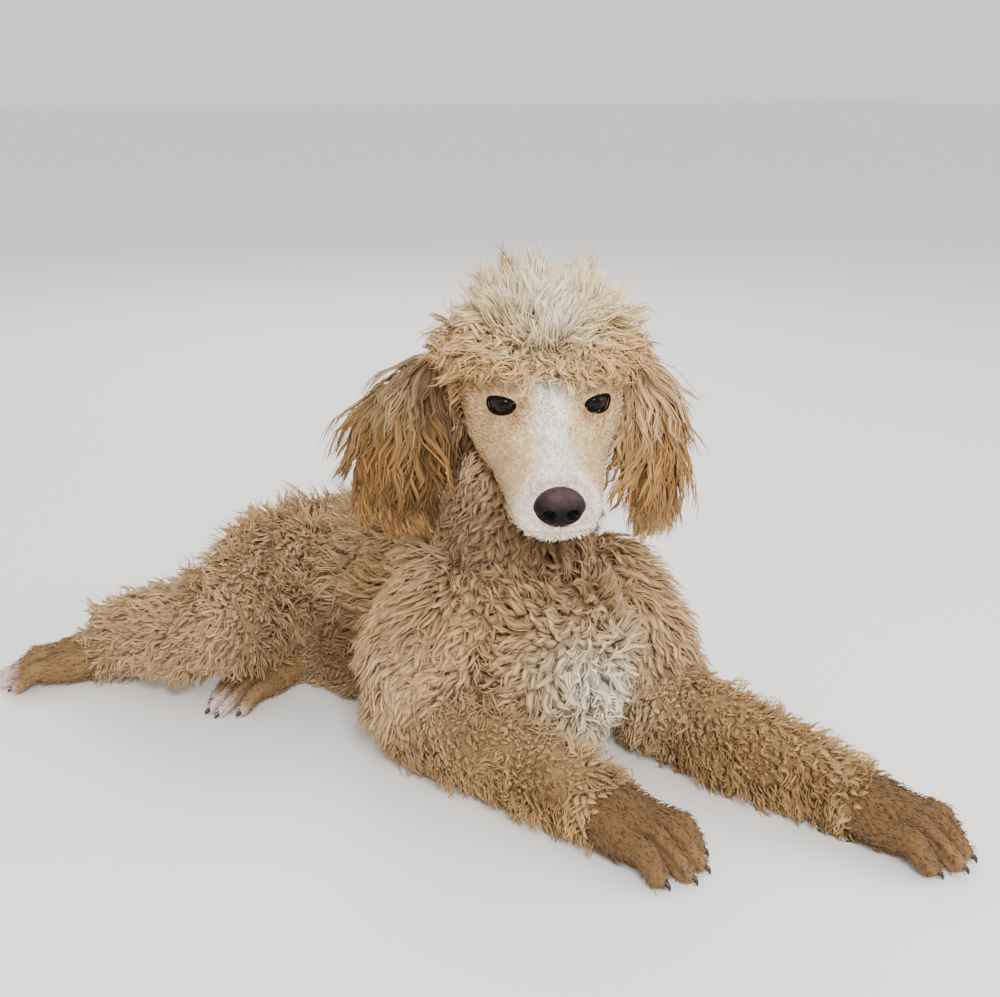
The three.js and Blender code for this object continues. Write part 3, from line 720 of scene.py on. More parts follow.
def waves(points, length, channel=0):
    """A smooth random value from about -1 to 1 that changes over `length` millimetres."""
    turns = points @ (WAVE_WAYS[channel] * FULL_TURN / length).T * np.linspace(0.7, 1.5, 7)
    return np.sin(turns + WAVE_SHIFTS[channel]).sum(1) / 2.6


def blend(base, colour, share):
    return base + (np.asarray(colour) - base) * np.clip(share, 0, 1)[:, None]


# Soft patches of the body's coat: colour, place, reach and share. They are the throat, painted
# shade in the deep places beside the throat, under the chin, in the flank and behind the elbow,
# the pale shoulders, and the bib with its cream edge and white middle.
BIB = (((4, -56, 74), 12), ((13, -56, 60), 15), ((22, -52, 44), 14))
PATCHES = (
    (DARK_TAN, (14, -48, 100), 36, 0.4),
    (PAINTED_SHADE_TAN, (-50, -4, 150), 26, 0.8),
    (PAINTED_SHADE_TAN, (-6, -40, 160), 40, 0.85),
    (PAINTED_SHADE_TAN, (-80, 92, 44), 42, 0.95),
    (PAINTED_SHADE_TAN, (-96, 118, 40), 26, 0.6),
    (PAINTED_SHADE_TAN, (30, -20, 30), 16, 0.7),
    (PALE_TAN, (-66, 10, 66), 42, 0.7),
    (PALE_TAN, (78, -20, 70), 42, 0.7),
    *((CREAM, place, reach * 2.1, 0.7) for place, reach in BIB),
    *((WHITE, place, reach, 0.95) for place, reach in BIB),
)
# How far each ear is dark gold all over, and how far painted shade darkens its hind edge
EAR_DARK_GOLD_AND_SHADE = {"ear_right": (REGION_EAR_RIGHT, 0.72, 0.8), "ear_left": (REGION_EAR_LEFT, 0.25, 0.35)}


def markings(points, region):
    """The coat's colour at points of the skin."""
    colour = np.tile(TAN, (len(points), 1))
    colour = blend(colour, DARK_TAN, 0.3 + 0.3 * waves(points, 38))
    colour = blend(colour, PALE_TAN, smooth_step(95, 150, points[:, 2]) * 0.5)
    colour = blend(colour, PALE_TAN, 0.45 * smooth_step(70, 120, points[:, 1]))
    for shade, place, reach, share in PATCHES:
        colour = blend(colour, shade, soft_bump(points, place, reach, share))
    for name, (code, dark_share, painted_shade_share) in EAR_DARK_GOLD_AND_SHADE.items():
        ear = np.tile(GOLD, (len(points), 1))
        ear = blend(ear, DARK_GOLD, dark_share + 0.4 * waves(points, 30))
        if name == "ear_left":
            ear = blend(ear, TAN, 0.8 * smooth_step(206, 178, points[:, 2]))
        ear = blend(ear, PALE_TAN, smooth_step(218, 248, points[:, 2]) * 0.6)
        flap, across, _ = EARS[name]
        behind_middle = (points - flap[2][:3]) @ across
        # Painted shade darkens the ear's hind edge, where it lies in shadow by the cheek
        ear = blend(ear, PAINTED_SHADE_TAN, painted_shade_share * smooth_step(-4, -20, behind_middle))
        colour[region == code] = ear[region == code]
    head = to_head(points)
    face = np.tile(FACE_CREAM, (len(points), 1))
    blaze_half = np.interp(head[:, 1], [-70, -50, -20, 8, 20], [24, 11, 9, 8, 6])
    above = smooth_step(-34, -20, head[:, 2])
    face = blend(face, BLAZE, (1 - smooth_step(0.6, 1.5, np.abs(head[:, 0]) / blaze_half)) * above)
    face = blend(face, BLAZE, 0.8 * smooth_step(-38, -58, head[:, 1]))
    around_nose = np.linalg.norm((head - (0, -60, -21)) / (15, 12, 12), axis=1)
    face = blend(face, ROSE, 0.7 * (1 - smooth_step(0.9, 1.5, around_nose)))
    for side in (-1, 1):
        centre, front, corner, upper = eye_frame(side)
        tear = centre + front * 9 - corner * 9.5 - Z_AXIS * 5
        streak = np.exp(-(((head - tear) / (2.2, 6, 5)) ** 2).sum(1))
        face = blend(face, TEAR_RED, 0.95 * streak)
        # Painted shade round each eye in its socket, and on the brow above it
        near_eye = np.linalg.norm(head - centre, axis=1)
        face = blend(face, DARK_TAN, 0.55 * (1 - smooth_step(10.4, 13.5, near_eye)))
        brow = centre + upper * 10 - corner * 3
        face = blend(face, DARK_TAN, 0.7 * soft_bump(head, brow, 7, 1))
    # Painted shade: the face darkens to tan on its sides, back from the front of the muzzle
    half_widths = np.interp(head[:, 1], head_backs, head_table[:, 0])
    side_shade = smooth_step(0.45, 0.95, np.abs(head[:, 0]) / half_widths)
    face = blend(face, TAN, 0.5 * side_shade * smooth_step(-58, -36, head[:, 1]))
    mottled = smooth_step(0.0, 1.0, waves(points, 22, 1)) * smooth_step(6, 16, np.abs(head[:, 0]))
    face = blend(face, TAN, 0.3 * mottled * smooth_step(-60, -44, head[:, 1]))
    cheek = np.maximum(smooth_step(4, 30, head[:, 1]),
                       smooth_step(-18, -2, head[:, 1]) * smooth_step(-22, -34, head[:, 2]))
    face = blend(face, TAN, 0.75 * cheek * (1 - smooth_step(0, 20, head[:, 2])))
    crown = blend(np.tile(CREAM, (len(points), 1)), FRINGE, 1 - smooth_step(16, 34, head[:, 2]))
    streak = np.exp(-((head[:, 0] - 2) / 13) ** 2) * smooth_step(22, 30, head[:, 2])
    crown = blend(crown, TOPKNOT_WHITE, streak)
    # Painted shade under the fringe's low front edge, over the brow
    low_front = smooth_step(22, 14, head[:, 2]) * smooth_step(24, 12, head[:, 1])
    crown = blend(crown, DARK_TAN, 0.35 * low_front)
    low_rear = smooth_step(40, 62, head[:, 1]) * (1 - smooth_step(20, 40, head[:, 2]))
    crown = blend(crown, TAN, low_rear)
    on_crown = smooth_step(6, 14, head[:, 1] + 0.5 * head[:, 2])[:, None]
    low_back = smooth_step(10, 30, head[:, 1])[:, None] * (head[:, 2] < 16)[:, None]
    head_colour = face * (1 - on_crown) + crown * on_crown
    head_colour = head_colour * (1 - low_back) + TAN * low_back
    colour[region == REGION_HEAD] = head_colour[region == REGION_HEAD]
    for number, name in enumerate(PAWS):
        is_paw = region == REGION_PAW + number
        local = to_paw(name, points)
        toes = smooth_step(0.74, 0.9, -local[:, 1] / PAWS[name][2])
        paw = np.tile(PAW_TAN, (len(points), 1))
        if name.startswith("hind"):
            paw = blend(paw * 0.65 + TAN * 0.35, PINK, toes)
        else:
            # Painted highlight: the forepaws' toes lighten towards tan at their ends
            paw = blend(paw, TAN, 0.2 * toes)
        # Painted shade in the creases between the toes
        paw = blend(paw, LIP_DARK_AND_CREASE_SHADE, 0.7 * toe_crease(name, local))
        colour[is_paw] = paw[is_paw]
    return colour


def store_colour(mesh, values):
    """Keeps the markings on a mesh, one colour for each vertex."""
    layer = mesh.attributes.new("coat_colour", "FLOAT_COLOR", "POINT")
    shades = np.ones((len(values), 4), np.float32)
    shades[:, :3] = values
    layer.data.foreach_set("color", shades.ravel())


# Where the coat hides it, the skin is painted dark as the shade deep in the coat, so that gaps between
# the curls read as shadow; elsewhere it is a little darker than its fur
HIDDEN_SHADE, BARE_SHADE, PAW_SHADE = 0.55, 0.94, 0.84
skin_region, skin_place, skin_turn = regions_of(points)
skin_colour = markings(points, skin_region)
from_mouth = np.linalg.norm(to_head(points)[:, None] - mouth[None, ::2], axis=2).min(1)
mouth_line_dark = np.exp(-((from_mouth / 1.1) ** 2))
is_face = skin_region == REGION_HEAD
skin_colour[is_face] = blend(skin_colour, LIP_DARK_AND_CREASE_SHADE, 0.75 * mouth_line_dark)[is_face]
is_paw_skin = skin_region >= REGION_PAW
under_coat = ~is_face & ~is_paw_skin
crown_skin = is_face & (to_head(points)[:, 2] > 22)
skin_colour *= np.where(under_coat | crown_skin, HIDDEN_SHADE, BARE_SHADE)[:, None]
skin_colour *= np.where(is_paw_skin, PAW_SHADE, 1.0)[:, None]
store_colour(skin_mesh, skin_colour)

# How many streaks of hair there are across and along the unwrap
STREAKS_PER_PATCH = (3600, 300, 1)


def coat_material(name, roughness, root_shade, streaked):
    """Hair or short fur: the markings, darkened towards the roots by painted shade and a little paler
    at the tips. Locks also get fine streaks of hair that run along them, in colour and in bump; the
    skin gets grain instead."""
    material, shader, tree = new_material(name, roughness, 0.08)
    shader.inputs["Sheen Weight"].default_value = 0.08
    shader.inputs["Sheen Roughness"].default_value = 0.5
    markings_node = tree.nodes.new("ShaderNodeAttribute")
    markings_node.attribute_name = "coat_colour"
    along_node = tree.nodes.new("ShaderNodeAttribute")
    along_node.attribute_name = "along"
    # Painted shade: each strand darkens from its tip down to root_shade at its root, where the coat
    # shades it
    shade = tree.nodes.new("ShaderNodeMapRange")
    shade.inputs["To Min"].default_value = root_shade
    shade.inputs["To Max"].default_value = 1.16
    tree.links.new(along_node.outputs["Fac"], shade.inputs["Value"])
    if streaked:
        patch = tree.nodes.new("ShaderNodeUVMap")
        patch.uv_map = "OFBake"
        stretch = tree.nodes.new("ShaderNodeVectorMath")
        stretch.operation = "MULTIPLY"
        stretch.inputs[1].default_value = STREAKS_PER_PATCH
        streaks = tree.nodes.new("ShaderNodeTexNoise")
        streaks.inputs["Scale"].default_value = 1.0
        tree.links.new(patch.outputs["UV"], stretch.inputs[0])
        tree.links.new(stretch.outputs["Vector"], streaks.inputs["Vector"])
        add_bump(tree, shader, streaks.outputs["Fac"], 0.5, 0.0005)
    else:
        streaks = object_noise(tree, 420)
        add_bump(tree, shader, object_noise(tree, 1400).outputs["Fac"], 0.6, 0.0006)
    spread = tree.nodes.new("ShaderNodeMapRange")
    spread.inputs["From Min"].default_value = 0.25
    spread.inputs["From Max"].default_value = 0.75
    spread.inputs["To Min"].default_value = 0.74 if streaked else 0.86
    spread.inputs["To Max"].default_value = 1.2 if streaked else 1.1
    tree.links.new(streaks.outputs["Fac"], spread.inputs["Value"])
    both = tree.nodes.new("ShaderNodeMath")
    both.operation = "MULTIPLY"
    tree.links.new(shade.outputs["Result"], both.inputs[0])
    tree.links.new(spread.outputs["Result"], both.inputs[1])
    tint = tree.nodes.new("ShaderNodeVectorMath")
    tint.operation = "SCALE"
    tree.links.new(markings_node.outputs["Color"], tint.inputs[0])
    tree.links.new(both.outputs["Value"], tint.inputs["Scale"])
    tree.links.new(tint.outputs["Vector"], shader.inputs["Base Color"])
    return material


skin_material = coat_material("short_fur", 0.75, 1.0, False)
skin_mesh.materials.clear()
skin_mesh.materials.append(skin_material)
skin_mesh.polygons.foreach_set("use_smooth", np.full(len(skin_mesh.polygons), True))
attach(skin, "root")
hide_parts("head", "topknot", *EARS, *BODY, *PAWS)

# The eyes: near-black brown balls with a clear bulging cornea, set in the sockets, and the dark
# wet edge of the lids round each of them.
GAZE_OUTWARD, GAZE_LIFT = 12, 0.22
CORNEA_HALF_ANGLE, CORNEA_BULGE = 0.62, 0.9
# The edge of the lids: its half size, its thickness and width in terms of that, its height over the
# eyeball, the share of the lids' outline that it follows, its sections and the corners of each
LID_EDGE_RADIUS, LID_EDGE_THICK, LID_EDGE_WIDE = 0.65, 0.9, 1.75
LID_EDGE_HEIGHT, LID_EDGE_SHARE, LID_EDGE_STOPS, LID_EDGE_SIDES = 0.8, 0.96, 72, 8
LID_EDGE_COLOUR = (0.005, 0.004, 0.003, 1)
# Colours of pupil, iris, its rim and the white, each with where it stands outwards from the middle
EYE_RINGS = ((0.30, (0.002, 0.002, 0.002, 1)), (0.36, (0.016, 0.008, 0.005, 1)),
             (0.62, (0.010, 0.006, 0.004, 1)), (0.80, (0.012, 0.008, 0.007, 1)))
eye_material, eye_shader, eye_tree = new_material("eye", 0.03, 0.14)
ring_node = eye_tree.nodes.new("ShaderNodeAttribute")
ring_node.attribute_name = "from_pupil"
rings = eye_tree.nodes.new("ShaderNodeValToRGB")
for k, (place, colour) in enumerate(EYE_RINGS):
    stop = rings.color_ramp.elements[k] if k < 2 else rings.color_ramp.elements.new(place)
    stop.position = place
    stop.color = colour
eye_tree.links.new(ring_node.outputs["Fac"], rings.inputs["Fac"])
eye_tree.links.new(rings.outputs["Color"], eye_shader.inputs["Base Color"])
lid_material, lid_shader, lid_tree = new_material("lid_edge", 0.7, 0.05)
lid_shader.inputs["Base Color"].default_value = LID_EDGE_COLOUR
add_bump(lid_tree, lid_shader, object_noise(lid_tree, 900).outputs["Fac"], 0.3, 0.0004)

for side, side_name in ((1, "left"), (-1, "right")):
    centre, front, corner, upper = eye_frame(side)
    out = math.radians(GAZE_OUTWARD)
    gaze = Vector((side * math.sin(out), -math.cos(out), GAZE_LIFT)).normalized()
    eye_bm = bmesh.new()
    bmesh.ops.create_uvsphere(eye_bm, u_segments=56, v_segments=40, radius=EYE_RADIUS)
    from_pupil = []
    for vert in eye_bm.verts:
        angle = vert.co.angle(Z_AXIS)
        dome = max(1 - (angle / CORNEA_HALF_ANGLE) ** 2, 0)
        vert.co *= 1 + CORNEA_BULGE / EYE_RADIUS * dome
        from_pupil.append(angle)
    aim = Vector((0, 0, 1)).rotation_difference(gaze).to_matrix().to_4x4()
    bmesh.ops.transform(eye_bm, matrix=head_pose @ Matrix.Translation(centre) @ aim, verts=eye_bm.verts)
    eye = finish_piece(eye_bm, "eye_ball_" + side_name, eye_material)
    layer = eye.data.attributes.new("from_pupil", "FLOAT", "POINT")
    layer.data.foreach_set("value", from_pupil)
    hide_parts("eye_" + side_name)

    edge_bm = bmesh.new()
    turns = np.linspace(0, 2 * math.pi, LID_EDGE_STOPS, endpoint=False)
    loop = []
    for turn in turns:
        along = LID_HALF_LENGTH * math.cos(turn)
        is_upper = math.sin(turn) > 0
        height = float(lid_edge_height(np.array([along]), np.array([is_upper]))[0])
        a = along * LID_EDGE_SHARE / EYE_RADIUS
        b = math.copysign(height * LID_EDGE_SHARE, math.sin(turn)) / EYE_RADIUS
        way = corner * math.sin(a) + upper * math.sin(b)
        way = way + front * math.sqrt(max(1 - way.dot(way), 0))
        loop.append(centre + way * (EYE_RADIUS + LID_EDGE_HEIGHT))
    loop = np.array(loop)
    edge_rings = []
    for k, point in enumerate(loop):
        ahead = loop[(k + 1) % len(loop)] - loop[k - 1]
        ahead /= np.linalg.norm(ahead)
        outward = (point - centre) / np.linalg.norm(point - centre)
        across = np.cross(ahead, outward)
        made = bmesh.ops.create_circle(edge_bm, segments=LID_EDGE_SIDES, radius=1)["verts"]
        for j, vert in enumerate(made):
            angle = 2 * math.pi * j / LID_EDGE_SIDES
            ring_way = outward * math.sin(angle) * LID_EDGE_THICK
            ring_way = ring_way + across * math.cos(angle) * LID_EDGE_WIDE
            vert.co = head_pose @ Vector(point + ring_way * LID_EDGE_RADIUS)
        edge_rings.append(list({edge for vert in made for edge in vert.link_edges}))
    for k in range(len(edge_rings)):
        bmesh.ops.bridge_loops(edge_bm, edges=edge_rings[k] + edge_rings[(k + 1) % len(edge_rings)])
    bmesh.ops.recalc_face_normals(edge_bm, faces=edge_bm.faces)
    finish_piece(edge_bm, "lid_edge_" + side_name, lid_material)

# The nose leather: a moist dark pad with fine pebbled skin, mottled pink on top, with two
# comma-shaped nostrils and the groove between them. It is set into the front of the muzzle.
NOSE_AT, NOSE_HALF = (-0.8, -61.5, -20.8), (13.1, 8.2, 11.1)
NOSE_DARK, NOSE_PINK = (0.004, 0.003, 0.003, 1), (0.085, 0.052, 0.050, 1)
# Sideways, up, half width and half height of a nostril's hole, of its slit and of the rim round it
HOLE, SLIT, RIM = (5.4, -0.6, 2.5, 2.7), (8.6, -2.6, 3.2, 1.1), (5.8, -0.8, 4.6, 4.8)
HOLE_DEPTH, SLIT_DEPTH, RIM_RISE, GROOVE_DEPTH, GROOVE_HALF = 4.6, 2.2, 0.9, 0.9, 0.55


def mix_colours(tree, shader, share, first, second):
    """Colours a shader from the first colour to the second, by a node's output."""
    mix = tree.nodes.new("ShaderNodeMix")
    mix.data_type = "RGBA"
    mix.inputs["A"].default_value = first
    mix.inputs["B"].default_value = second
    tree.links.new(share, mix.inputs["Factor"])
    tree.links.new(mix.outputs["Result"], shader.inputs["Base Color"])


nose_material, nose_shader, nose_tree = new_material("nose_leather", 0.42, 0.10)
nose_shader.inputs["Coat Weight"].default_value = 0.04
nose_shader.inputs["Coat Roughness"].default_value = 0.3
pink_node = nose_tree.nodes.new("ShaderNodeAttribute")
pink_node.attribute_name = "topside"
mottle = object_noise(nose_tree, 260, 4)
pink_share = nose_tree.nodes.new("ShaderNodeMath")
pink_share.operation = "MULTIPLY"
nose_tree.links.new(pink_node.outputs["Fac"], pink_share.inputs[0])
nose_tree.links.new(mottle.outputs["Fac"], pink_share.inputs[1])
mix_colours(nose_tree, nose_shader, pink_share.outputs["Value"], NOSE_DARK, NOSE_PINK)
pebbles_place = nose_tree.nodes.new("ShaderNodeTexCoord")
pebbles = nose_tree.nodes.new("ShaderNodeTexVoronoi")
pebbles.inputs["Scale"].default_value = 1100
nose_tree.links.new(pebbles_place.outputs["Object"], pebbles.inputs["Vector"])
add_bump(nose_tree, nose_shader, pebbles.outputs["Distance"], 0.5, 0.0004)

nose_bm = bmesh.new()
bmesh.ops.create_uvsphere(nose_bm, u_segments=120, v_segments=80, radius=1)
topside = []
for vert in nose_bm.verts:
    x, y, z = vert.co
    narrow = 1 - 0.16 * max(-z, 0) - 0.05 * max(z, 0)
    point = np.array([x * NOSE_HALF[0] * narrow, y * NOSE_HALF[1], z * NOSE_HALF[2]])
    if y < 0:
        point[1] *= 1 - 0.1 * (1 - z * z)
        for side in (-1, 1):
            hole, slit, rim = (
                np.array([(point[0] - side * aside) / wide, (point[2] - up) / high])
                for aside, up, wide, high in (HOLE, SLIT, RIM)
            )
            point[1] -= RIM_RISE * math.exp(-((np.linalg.norm(rim) - 0.9) ** 2) / 0.12)
            point[1] += HOLE_DEPTH * math.exp(-hole.dot(hole) ** 1.5)
            point[1] += SLIT_DEPTH * math.exp(-slit.dot(slit) ** 1.5)
        below = max(min((1 - point[2]) / 6, 1), 0)
        point[1] += GROOVE_DEPTH * below * math.exp(-((point[0] / GROOVE_HALF) ** 2))
    vert.co = point
    topside.append(min(max((z - 0.25) * 1.6, 0), 1) * 1.3)
bmesh.ops.transform(nose_bm, matrix=head_pose @ Matrix.Translation(NOSE_AT), verts=nose_bm.verts)
nose = finish_piece(nose_bm, "nose_pad", nose_material)
layer = nose.data.attributes.new("topside", "FLOAT", "POINT")
layer.data.foreach_set("value", topside)
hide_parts("nose")

# The claws: short curved horn cones, nearly black, each growing out of the end of a toe and
# worn down to just short of the floor.
HORN_DARK, HORN_PALE = (0.010, 0.005, 0.004, 1), (0.034, 0.015, 0.011, 1)
claw_material, claw_shader, claw_tree = new_material("claw", 0.35, 0.5)
horn = object_noise(claw_tree, 180)
mix_colours(claw_tree, claw_shader, horn.outputs["Fac"], HORN_DARK, HORN_PALE)
claw_bm = bmesh.new()
for name in PAWS:
    turned = paw_frame(name)
    for place in TOE_PLACES:
        spread, reach, toe, ground = toe_line(name, place)[1]
        line = [
            [spread * 1.04, -reach + toe * 0.8, ground + toe + 0.6, 1.5, 1.9],
            [spread * 1.05, -reach + 0.6, ground + toe * 0.8, 1.1, 1.4],
            [spread * 1.05, -reach - 0.6, ground + 2.6, 0.4, 0.5],
        ]
        rings = limb_rings(line, sides=14, steps=4)
        loft(claw_bm, [[turned @ Vector(point) for point in ring] for ring in rings])
bmesh.ops.recalc_face_normals(claw_bm, faces=claw_bm.faces)
finish_piece(claw_bm, "claws", claw_material)

# The coat: curly tufts of closed tapering strands that grow out of the skin all over. Each tuft
# has its own bend and curl, its strands close in towards its tip, and it carries the markings of
# the skin at its root.
skin_mesh.calc_loop_triangles()
triangles = np.zeros(len(skin_mesh.loop_triangles) * 3, np.int64)
skin_mesh.loop_triangles.foreach_get("vertices", triangles)
triangles = triangles.reshape(-1, 3)
corners = points[triangles]
triangle_areas = np.linalg.norm(
    np.cross(corners[:, 1] - corners[:, 0], corners[:, 2] - corners[:, 0]), axis=1) / 2
triangle_region = skin_region[triangles[:, 0]]
triangle_middle = corners.mean(1)
triangle_head = to_head(triangle_middle)
UNWRAP_CELLS = 5
TUFT_PATCH = 0.003
# No strand comes nearer to the floor than this
FLOOR_GAP = 0.3
REGION_CELLS = {code: k for k, code in enumerate(
    [*range(len(body_names)), REGION_HEAD, REGION_EAR_RIGHT, REGION_EAR_LEFT,
     *range(REGION_PAW, REGION_PAW + 4)])}


def unwrap_places(region, place, turn):
    """Where points lie on the skin's unwrap: a cell for each part, along it and round it."""
    cell = np.array([REGION_CELLS[code] for code in region])
    across = np.clip(turn / (2 * math.pi) + 0.5, 0, 1)
    along = np.clip(place * 0.7 + 0.15, 0, 1)
    low = 1.0 / UNWRAP_CELLS
    return np.stack([
        (cell % UNWRAP_CELLS + 0.04 + 0.9 * across) * low,
        (cell // UNWRAP_CELLS + 0.04 + 0.9 * along) * low,
    ], 1)


def unit(vectors):
    return vectors / np.maximum(np.linalg.norm(vectors, axis=-1, keepdims=True), 1e-9)


def tuft_roots(weight, count, random):
    """Places on the skin for tufts, spread evenly where weight is above 0, with their normals."""
    share = triangle_areas * weight
    tries = count * 4
    picked = random.choice(len(triangles), tries, p=share / share.sum())
    a, b = random.random((2, tries))
    fold = a + b > 1
    a[fold], b[fold] = 1 - a[fold], 1 - b[fold]
    mix = np.stack([1 - a - b, a, b], 1)[:, :, None]
    root = (corners[picked] * mix).sum(1)
    tree = kdtree.KDTree(tries)
    for i, point in enumerate(root):
        tree.insert(point, i)
    tree.balance()
    apart = 0.74 * math.sqrt(share.sum() / count)
    free = np.ones(tries, bool)
    kept = []
    for i, point in enumerate(root):
        if free[i]:
            kept.append(i)
            free[[found[1] for found in tree.find_range(point, apart)]] = False
    kept = kept[:count]
    root, picked, mix = root[kept], picked[kept], mix[kept]
    normal = unit((normals[triangles[picked]] * mix).sum(1))
    first = triangles[picked, 0]
    return root, normal, triangle_region[picked], skin_place[first], skin_turn[first]


def strand_piece(name, lines, radii, flatness, sides, colours, unwrapped, material):
    """Closed three-sided strands along rows of points, flat side down, joined into one piece."""
    count, stops, _ = lines.shape
    rings = stops - 1
    ahead = unit(np.gradient(lines, axis=1))
    across = sides[:, None] - ahead * (ahead * sides[:, None]).sum(2)[:, :, None]
    across = unit(across)
    rise = np.cross(across, ahead)
    angles = np.array([0.5, 0.5 + 2 / 3, 0.5 + 4 / 3]) * math.pi
    wide = across[:, :rings, None] * np.cos(angles)[:, None]
    high = rise[:, :rings, None] * np.sin(angles)[:, None] * flatness[:, None, None, None]
    ring_points = lines[:, :rings, None] + (wide + high) * radii[:, :rings, None, None]
    verts = np.concatenate([ring_points.reshape(count, rings * 3, 3), lines[:, -1:]], 1)
    verts[:, :, 2] = np.maximum(verts[:, :, 2], FLOOR_GAP)
    per = rings * 3 + 1
    faces = []
    for j in range(rings - 1):
        for k in range(3):
            n = (k + 1) % 3
            faces.append([j * 3 + k, j * 3 + n, (j + 1) * 3 + n, (j + 1) * 3 + k])
    last = (rings - 1) * 3
    for k in range(3):
        faces.append([last + k, last + (k + 1) % 3, last + 3])
    faces.append([2, 1, 0])
    loops = np.concatenate([np.array(face) for face in faces])
    sizes = np.array([len(face) for face in faces])
    starts = np.concatenate([[0], np.cumsum(sizes)[:-1]])
    offsets = np.arange(count)[:, None]
    all_loops = (loops[None] + offsets * per).ravel()
    all_starts = (starts[None] + offsets * len(loops)).ravel()
    mesh = bpy.data.meshes.new(name)
    mesh.vertices.add(count * per)
    mesh.vertices.foreach_set("co", (verts * MM).ravel())
    mesh.loops.add(len(all_loops))
    mesh.loops.foreach_set("vertex_index", all_loops.astype(np.int32))
    mesh.polygons.add(len(all_starts))
    mesh.polygons.foreach_set("loop_start", all_starts.astype(np.int32))
    mesh.update(calc_edges=True)
    mesh.polygons.foreach_set("use_smooth", np.full(len(all_starts), True))
    store_colour(mesh, np.repeat(colours, per, axis=0))
    along = np.concatenate([np.repeat(np.arange(rings) / rings, 3), [1.0]])
    layer = mesh.attributes.new("along", "FLOAT", "POINT")
    layer.data.foreach_set("value", np.tile(along, count).astype(np.float32))
    corner_u = np.concatenate([np.tile(np.arange(3) / 3, rings), [0.3]]) * TUFT_PATCH
    uv = np.stack([np.tile(corner_u, (count, 1)), np.tile(along * TUFT_PATCH, (count, 1))], 2)
    uv = (uv + unwrapped[:, None]).reshape(-1, 2)
    uv_layer = mesh.uv_layers.new(name="OFBake")
    uv_layer.uv.foreach_set("vector", uv[all_loops].astype(np.float32).ravel())
    mesh.materials.append(material)
    piece = bpy.data.objects.new(name, mesh)
    bpy.context.scene.collection.objects.link(piece)
    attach(piece, "root")
    return piece


# How far strands keep off the eyeball, and the open view in front of an eye: to each side, below
# and above its middle
EYE_CLEARANCE, VIEW_ASIDE, VIEW_BELOW, VIEW_ABOVE = 2.6, 11, -9, 6.5


def clear_of_eyes(lines):
    """Which strands keep off the eyes and the open view in front of them."""
    local = to_head(lines.reshape(-1, 3))
    blocks = np.zeros(len(local), bool)
    for side in (-1, 1):
        centre, front, corner, upper = eye_frame(side)
        away = local - centre
        over_eye = (away @ front > 0) & (np.abs(away @ corner) < VIEW_ASIDE)
        over_eye &= (away @ upper > VIEW_BELOW) & (away @ upper < VIEW_ABOVE)
        blocks |= over_eye | (np.linalg.norm(away, axis=1) < EYE_RADIUS + EYE_CLEARANCE)
    return ~blocks.reshape(len(lines), -1).any(1)


